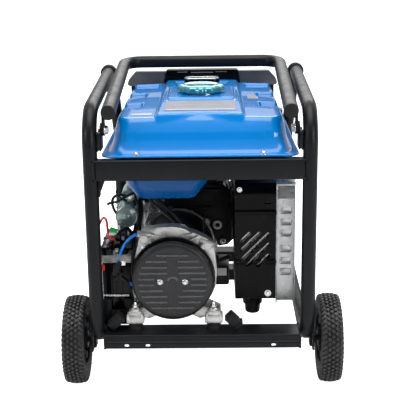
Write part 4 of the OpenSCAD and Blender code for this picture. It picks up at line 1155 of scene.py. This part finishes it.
def exhaust():
    path = rounded([Vector((b, z, 0)) for b, z in ((288, 457), (104, 456), (91.2, 438), (91.2, 398), (88.4,
            395), (88.4, 390), (91.2, 387), (91.2, 282), (88.4, 279), (88.4, 273), (91.2, 270), (91.2,
            186))], 14, 6)
    shield = Shape()
    ribbon(shield, path, 1.0, 76, 169)
    shield.box((75.6, 92, 186.4), (77.6, 290, 455), 0.6)
    for z in (304, 330, 356, 382):
        shield.box((74.4, 110, z - 5), (76.4, 270, z + 5), 1)
    slots = Shape()
    for x0, z0, x1, z1 in ((91, 325, 108, 342), (91, 303, 130, 342), (91, 280, 152, 341), (104, 268, 152,
            316), (128, 266, 152, 290)):
        slots.capsule((x0, 90, z0), (x1, 90, z1), 4.6, (1, 1, 1), 20)
    slots.box((143, 80, 411), (158, 100, 415.5), 0)
    shield.piece("slotted_shield", EXHAUST, slot="frame_paint", replaces="heat_shield", cut=slots, angle=38)
    rims = Shape()
    bolt = Shape()
    bolt.bolt(TOWARD, (150.7, 90, 199.4), 5.2, 4)
    bolt.bolt(TOWARD, (86, 90, 446), 4, 3)
    bolt.piece("shield_bolts", ZINC, slot="zinc")
    rims.lathe("y", (128, 306, 330), [(20, 0), (27, 0), (27, 5.6), (20, 5.6), (20, 0)], 48)
    rims.piece("inlet_flange", STEEL)
    cover = Shape()
    x0, x1 = 169.6, 212
    body = [(92, 182), (96, 179), (300, 179), (305.8, 186), (305.8, 452), (300, 462)]
    waves = []
    for k in range(6):
        b = 290 - k * 36
        waves += [(b, 465.6), (b - 14, 465.6), (b - 20, 459.5), (b - 30, 459.5)]
    body += waves + [(104, 456), (97, 444), (92, 424)]
    pts = rounded([Vector((b, z, 0)) for b, z in body], 6, 3, closed=True)
    # Outline about X: local x is -Z, local y is the depth
    cover.prism([(-p.y, p.x) for p in pts], x0, x1, "x", (0, 0, 0), bevel=3.2, segments=3)
    pockets = Shape()
    for z in (388, 361, 334.5, 297, 269, 242):
        pockets.box((177, 84, z), (204, 97.5, z + 17), 4)
    for z in (395, 366, 338, 300, 272, 244, 216):
        pockets.box((206.5, 112, z), (220, 292, z + 12), 4)
    cover.piece("ribbed_cover", STAMPED, slot="muffler_steel", replaces="muffler_cover", cut=pockets,
            angle=40)
    Shape().tube([(169.8, b, z) for b, z in ((90, 176), (90, 440), (98, 462), (110, 468))], 1.4,
            8).piece("cover_lip", STAMPED, slot="muffler_steel")
    spout = Shape()
    spout.lathe("z", (118, 150, 132), [(11, 0.4), (14.5, 0), (16.6, 1.8), (17.4, 6), (18.4, 22), (22.5, 23),
            (23, 30), (22.4, 53), (11, 53), (11, 0.4)], 64)
    spout.piece("tail_spout", EXHAUST, slot="frame_paint", replaces="exhaust_spout")


# ------------------------------------------------------------------ starter, battery and wiring

def starter():
    shape = Shape()
    shape.lathe("y", (-180, 200, 352), [(0, -6), (5.5, -5.8), (7.6, -4.4), (8.2, 0.4), (10, 1.4), (20, 1.4),
            (22.6, 2.2), (24.6, 1.4), (26.2, 2.6), (26.8, 5), (26.8, 11), (25.6, 12), (26.6, 13), (26.6,
            118), (25.4, 119), (27, 121), (27, 130), (23, 132), (23, 172), (0, 172)], 72)
    shape.lathe("y", (-178, 226, 395), [(0, 0), (9, 0), (9.6, 1), (9.6, 4), (15, 5), (16.8, 7), (16.8, 22),
            (16, 23), (16.8, 24), (16.8, 80), (12, 82), (0, 82)], 56)
    shape.box((-190, 242, 374), (-168, 300, 386), 3)
    for s in (-1, 1):
        shape.capsule((-180 + s * 23, 215, 372), (-180 + s * 23, 320, 372), 2.6)
    shape.piece("starter_body", STARTER, slot="starter_grey", replaces="starter_motor", angle=35,
            weld=False)
    bits = Shape()
    for x, z in ((-166, 366), (-194, 338)):
        bits.bolt(TOWARD, (x, 201.6, z), 3.6, 3)
    for x in (-184, -172):
        bits.bolt(TOWARD, (x, 226, 396), 3.6, 4)
    bits.piece("starter_bolts", ZINC, slot="zinc")


def battery():
    case = Shape()
    case.box((-226, 62, 143), (-160, 210, 286), 3)
    for k in range(5):
        case.box((-221 + k * 13, 60.6, 160), (-217 + k * 13, 63, 270), 0.8)
    case.box((-228, 60, 303.5), (-204, 210, 322), 3)
    case.box((-200, 96, 303.5), (-160, 206, 318), 3)
    case.box((-190, 66, 299), (-166, 92, 309), 3)
    case.piece("battery_case", GLOSSY, slot="battery_black", replaces="battery", angle=35, weld=False)
    band = Shape()
    band.box((-228, 59.6, 285), (-158, 212, 304), 3.2)
    for k in range(6):
        band.rod("z", (-219 + k * 10.4, 70, 303), 3.2, 3.6, 0.8, 20)
    band.piece("battery_lid", BAND, slot="battery_black", angle=35, weld=False)
    posts = Shape()
    for b in (80, 190):
        posts.bolt("z", (-193, b, 306), 5.6, 6)
    posts.bolt(TOWARD, (-178.5, 60, 288), 4.8, 4)
    posts.box((-186, 55, 281), (-172, 59, 294), 1.2)
    posts.piece("battery_posts", ZINC, slot="zinc")
    clamp = Shape()
    clamp.rod("x", (-224, 58, 208.4), 58, 2.3, 0.6, 16)
    clamp.rod("z", (-155, 137, 142), 160, 2.5, 0.6, 16)
    clamp.piece("clamp_rods", ZINC, slot="zinc")
    tray = Shape()
    tray.box((-232, 54, 140.2), (-154, 214, 142.8), 0.8)
    tray.box((-232, 52.6, 140.2), (-154, 55.4, 176), 0.8)
    tray.box((-229, 128, 318.6), (-157, 144, 323), 1)
    tray.box((-158, 128, 300), (-154.6, 144, 323), 0.8)
    for x in (-226, -176):
        tray.box((x, 52, 142), (x + 20, 56, 202), 1)
    tray.piece("battery_tray", POWDER, slot="frame_paint", replaces="battery_clamp", angle=35, weld=False)
    boots = Shape()
    boots.box((-200, 50, 262), (-184, 68, 284), 4)
    boots.capsule((-186, 54, 286), (-196, 50, 264), 6)
    boots.capsule((-182, 52, 262), (-196, 50, 248), 4)
    boots.piece("terminal_boots", RUBBER, weld=False)
    Shape().box((-227.5, 57, 268), (-219, 66, 282), 2.5).piece("positive_boot", WIRE_RED,
            slot="red_plastic")


def wire(name, material, route, r, ripple=None, steps=8):
    shape = Shape()
    shape.tube(flowing(route, steps), r, 12, ripple=ripple)
    return shape.piece(name, material, angle=60)


def wiring():
    wire("battery_lead", WIRE_RED, [(-244, 170, 340), (-236, 165, 356), (-228, 150, 366), (-221, 140, 362),
            (-218, 130, 346), (-214, 116, 332), (-206, 104, 328), (-200, 98, 330)], 3.0)
    wire("vent_hose", WIRE_BLUE, [(-140, 76, 349), (-150, 74, 347), (-162, 72, 340), (-174, 70, 326),
            (-183, 66, 308), (-189, 60, 290), (-191, 57, 280)], 3.1)
    wire("lead_a", WIRE_BLACK, [(-178, 224, 398), (-196, 216, 404), (-210, 214, 398), (-214, 212, 384),
            (-208, 208, 366), (-196, 206, 350), (-186, 215, 326)], 3.4)
    wire("lead_b", WIRE_BLACK, [(-226, 206, 382), (-218, 208, 386), (-202, 212, 388), (-186, 218, 396),
            (-166, 226, 404), (-140, 236, 410)], 3.2)
    wire("lead_c", WIRE_BLACK, [(-200, 230, 420), (-204, 224, 408), (-196, 220, 396), (-180, 222, 386)],
         2.6)
    wire("lead_d", WIRE_BLACK, [(-206, 104, 328), (-196, 110, 334), (-184, 130, 342), (-174, 150, 340),
            (-166, 170, 322), (-160, 180, 300)], 4.0)
    wire("lead_e", WIRE_BLACK, [(-186, 215, 326), (-178, 190, 306), (-172, 160, 300), (-170, 120, 312)],
         3.4)
    wire("lead_f", WIRE_BLACK, [(-196, 52, 262), (-178, 50, 250), (-164, 48, 236), (-160, 46, 224),
            (-158, 60, 200), (-152, 70, 160)], 2.4)
    wire("lead_g", WIRE_BLACK, [(-150, 60, 240), (-158, 58, 262), (-156, 62, 290), (-150, 70, 320)], 3.0)
    # Split conduit over the alternator, with its rings
    for name, dx, dz, r in (("conduit_a", 0, 0, 5.0), ("conduit_b", -8, -9, 4.2)):
        route = [(-150 + dx, 262, 410 + dz), (-126 + dx, 250, 398 + dz), (-102 + dx, 226, 382 + dz),
                (-78 + dx, 196, 370 + dz), (-54 + dx, 160, 358 + dz),
                (-36 + dx, 126, 344 + dz), (-24 + dx, 104, 332 + dz)]
        wire(name, WIRE_BLACK, route, r, ripple=lambda i: 1.0 if i % 2 else 0.86, steps=14)
    wire("conduit_c", WIRE_BLACK, [(-164, 250, 430), (-168, 246, 404), (-160, 240, 378), (-158, 232, 348),
            (-160, 216, 320), (-166, 190, 300), (-170, 150, 294)], 6.5,
         ripple=lambda i: 1.0 if i % 2 else 0.88, steps=12)
    wire("conduit_d", WIRE_BLACK, [(-148, 290, 420), (-152, 284, 390), (-150, 280, 350), (-156, 268, 300),
            (-160, 250, 262)], 5, ripple=lambda i: 1.0 if i % 2 else 0.88, steps=12)
    plugs = Shape()
    plugs.box((-212, 112, 342), (-194, 124, 350), 1.5, turned((-203, 118, 346), 0.35))
    plugs.box((-208, 114, 330), (-193, 124, 335), 1)
    plugs.piece("connector_a", GREEN)
    pale = Shape()
    pale.box((-213, 110, 335), (-196, 122, 341), 1)
    pale.box((-192, 116, 346), (-188, 126, 356), 1)
    pale.piece("connector_b", WHITE)
    Shape().box((-165, 56, 231), (-157, 64, 240), 1.2).piece("connector_c", WIRE_BLUE)
    dark = Shape()
    dark.box((-190, 112, 318), (-172, 132, 336), 3)
    dark.box((-176, 120, 300), (-160, 142, 322), 3)
    dark.box((-172, 66, 318), (-158, 90, 330), 2)
    dark.piece("connector_d", PLASTIC, angle=35, weld=False)
    Shape().box((-184, 110.8, 324), (-178, 112.2, 332), 0.4).piece("connector_tag", LABEL_PALE)
    Shape().lathe(TOWARD, (-158, 176, 316), [(0, 0), (4, 0), (4, 5), (3, 6), (0, 6)],
            24).piece("relay_stud", ZINC, slot="zinc")


# ------------------------------------------------------------------ console

def console():
    hood = Shape()
    wings = rounded([Vector((x, z, 0)) for x, z in ((-206, 606), (206, 606), (200, 624), (181, 645),
            (-181, 645), (-200, 624))], 8, 5, closed=True)
    hood.prism(facing([p.xy for p in wings]), 606, 633.6, "y", (0, 0, 0), bevel=3, segments=3)
    middle = rounded([Vector((x, z, 0)) for x, z in ((-104, 606), (104, 606), (97, 650), (-97, 650))], 6, 5,
            closed=True)
    crown = Shape()
    crown.prism(facing([p.xy for p in middle]), 600, 633.8, "y", (0, 0, 0), bevel=2.4, segments=3)
    # The wings take the lightened grey, partly painted light on their top faces
    hood.piece("hood_shell", HOOD_GREY_PAINTED_LIGHT, slot="black_plastic", replaces="console_hood", angle=40, weld=False)
    crown.piece("hood_crown", GLOSSY, slot="black_plastic", angle=40)
    marks = Shape()
    for x0, x1, z0, z1 in ((-68, -40, 643, 645), (-30, 30, 641.5, 644), (36, 66, 643, 645)):
        marks.box((x0, 599.4, z0), (x1, 600.2, z1), 0.2)
    marks.piece("hood_marks", LABEL)
    fascia = Shape()
    face = outline(-178, 178, 416, 622, 10, 6)
    fascia.prism(facing(face), FASCIA_B, FASCIA_B + 1.4, "y", (0, 0, 0), bevel=0.4)
    windows = Shape()
    for x in (-110, 110):
        windows.box((x - 36, 630, 419), (x + 36, 650, 492), 3)
    windows.box((-20, 630, 538), (20, 650, 592), 1)
    windows.rod("y", (0, 630, 470), 20, 13, 0, 40)
    windows.rod("y", (150, 630, 560), 20, 9.5, 0, 40)
    # The fascia takes the same lightened grey, partly painted light
    fascia.piece("fascia_plate", HOOD_GREY_PAINTED_LIGHT, slot="black_plastic", cut=windows, angle=35)
    screws = Shape()
    for x in (-170, 170):
        for z in (424, 612):
            screws.lathe("y", (x, FASCIA_B + 1.2, z), [(0, 0), (4.4, 0), (4.4, 1.2), (3, 2.4), (0, 2.6)],
                    24)
    screws.piece("fascia_screws", ZINC, slot="zinc")
    Shape().lathe("y", (-110, FASCIA_B + 1, 565), [(0, 0), (29, 0), (30, 1.5), (30, 5.4), (28, 6.8), (25.5,
            6.8), (25, 4), (0, 4)], 64).piece("meter_bezel", GLOSSY)
    Shape().lathe("y", (-110, FASCIA_B + 5, 565), [(0, 0), (24.6, 0), (24.6, 0.6), (0, 0.6)],
            64).piece("meter_dial", DIAL)
    needle = Shape()
    for k in range(9):
        a = math.radians(200 - k * 27.5)
        spot = placed_turn((-110 + 20 * math.cos(a), 645.8, 565 + 20 * math.sin(a)), -a)
        needle.box((-2.4, -0.2, -0.5), (2.4, 0.3, 0.5), 0.1, spot)
    spot = placed_turn((-110, 646, 565), math.radians(-120))
    needle.box((-3, -0.2, -0.6), (17, 0.4, 0.6), 0.1, spot)
    needle.piece("meter_needle", WIRE_BLACK)
    Shape().lathe("y", (-110, 646.6, 565), [(0, 0.6), (25.4, 0.2), (25.4, 0), (0, 0)],
            64).piece("meter_lens", GLASS)
    Shape().lathe("y", (60, FASCIA_B + 1, 565), [(0, 0), (6, 0), (6, 3), (4, 6), (0, 7)],
            32).piece("pilot_light", LAMP)
    cell = Shape()
    for x in (88, 108):
        cell.lathe("y", (x, FASCIA_B + 1, 565), [(0, 0), (8, 0), (8, 4), (6.5, 5), (6.5, 11), (5, 12.4), (0,
                12.4)], 32)
    cell.piece("dc_terminals", WIRE_RED, slot="red_plastic")
    for name, x in (("breaker_left", -34), ("breaker_right", 34)):
        Shape().lathe("y", (x, FASCIA_B + 1, 520), [(0, 0), (9, 0), (9, 3), (6, 4), (6, 9), (4.6, 10.6), (0,
                10.6)], 32).piece(name, PLASTIC)


# ------------------------------------------------------------------ build

side_hoops()
cross_members()
hinge_parts()
handle()
wheels()
tank()
tank_top_trim()
end_cover()
cast_bracket()
stator_details()
engine_front()
engine_back()
exhaust()
starter()
battery()
wiring()
console()


# ------------------------------------------------------------------ stage, light and camera

def backdrop():
    """White all round for the eye; for light, bright behind and overhead and dim at the wheel end."""
    world = bpy.data.worlds.new("studio")
    bpy.context.scene.world = world
    world.use_nodes = True
    nodes, links = world.node_tree.nodes, world.node_tree.links
    split = nodes.new("ShaderNodeSeparateXYZ")
    links.new(nodes.new("ShaderNodeTexCoord").outputs["Generated"], split.inputs[0])
    rear = nodes.new("ShaderNodeMapRange")
    rear.interpolation_type = "SMOOTHSTEP"
    rear.inputs["From Min"].default_value = -0.35
    rear.inputs["From Max"].default_value = 0.45
    rear.inputs["To Min"].default_value = 0.12
    rear.inputs["To Max"].default_value = 0.66
    links.new(split.outputs["Y"], rear.inputs["Value"])
    top = nodes.new("ShaderNodeMapRange")
    top.interpolation_type = "SMOOTHSTEP"
    top.inputs["From Min"].default_value = 0.72
    top.inputs["From Max"].default_value = 0.95
    top.inputs["To Min"].default_value = 0.0
    top.inputs["To Max"].default_value = 1.6
    links.new(split.outputs["Z"], top.inputs["Value"])
    both = nodes.new("ShaderNodeMath")
    both.operation = "MAXIMUM"
    links.new(rear.outputs[0], both.inputs[0])
    links.new(top.outputs[0], both.inputs[1])
    light = nodes["Background"]
    light.inputs["Color"].default_value = (1, 1, 1, 1)
    links.new(both.outputs[0], light.inputs["Strength"])
    plain = nodes.new("ShaderNodeBackground")
    plain.inputs["Color"].default_value = (1, 1, 1, 1)
    plain.inputs["Strength"].default_value = 1.05
    choose = nodes.new("ShaderNodeMixShader")
    links.new(nodes.new("ShaderNodeLightPath").outputs["Is Camera Ray"], choose.inputs[0])
    links.new(light.outputs[0], choose.inputs[1])
    links.new(plain.outputs[0], choose.inputs[2])
    links.new(choose.outputs[0], nodes["World Output"].inputs["Surface"])


def studio():
    scene = bpy.context.scene
    scene.view_settings.view_transform = "Standard"
    backdrop()
    mesh = bpy.data.meshes.new("floor")
    size = 14
    mesh.from_pydata([(-size, -size, 0), (size, -size, 0), (size, size, 0), (-size, size, 0)], [],
            [(0, 1, 2, 3)])
    floor = bpy.data.objects.new("floor", mesh)
    scene.collection.objects.link(floor)
    white = surface("floor_white", (0.90, 0.90, 0.90), 0.7, vary=0.01, grain=0.02, grain_size=300,
            specular=0.2, glow=(1, 1, 1))
    # The floor's own glow is for the eye, and lights nothing
    seen = white.node_tree.nodes.new("ShaderNodeLightPath").outputs["Is Camera Ray"]
    white.node_tree.links.new(seen, white.node_tree.nodes["Principled BSDF"].inputs["Emission Strength"])
    mesh.materials.append(white)
    lamps = (("key_light", (1.9, -2.1, 1.5), (0.5, 1.5), 26), ("fill_light", (-2.3, -1.6, 1.7), (0.7, 0.9),
            16), ("top_light", (0.0, -0.3, 2.9), (2.2, 2.0), 52), ("back_light", (0.3, 2.8, 2.2), (2.4,
            1.4), 34))
    for name, place, (wide, high), power in lamps:
        lamp = bpy.data.lights.new(name, "AREA")
        lamp.shape = "RECTANGLE"
        lamp.energy = power
        lamp.size = wide
        lamp.size_y = high
        obj = bpy.data.objects.new(name, lamp)
        scene.collection.objects.link(obj)
        obj.location = place
        obj.rotation_euler = (Vector((0, 0, 0.35)) - Vector(place)).to_track_quat("-Z", "Y").to_euler()


def camera():
    """An 85 mm lens before the near end, looking down at it."""
    data = bpy.data.cameras.new("camera")
    data.sensor_width = 36
    data.lens = 85
    data.clip_end = 50
    obj = bpy.data.objects.new("camera", data)
    bpy.context.scene.collection.objects.link(obj)
    bpy.context.scene.camera = obj
    pitch, yaw, roll = math.radians(15.17), math.radians(-0.88), math.radians(-0.78)
    look = Vector((math.sin(yaw) * math.cos(pitch), math.cos(yaw) * math.cos(pitch), -math.sin(pitch)))
    side = Vector((math.cos(yaw), -math.sin(yaw), 0))
    up = side.cross(look)
    side, up = side * math.cos(roll) + up * math.sin(roll), up * math.cos(roll) - side * math.sin(roll)
    turn = Matrix((side, up, -look)).transposed().to_4x4()
    obj.matrix_world = Matrix.Translation(row((28.8, -1957.5, 978.3))) @ turn


studio()
camera()
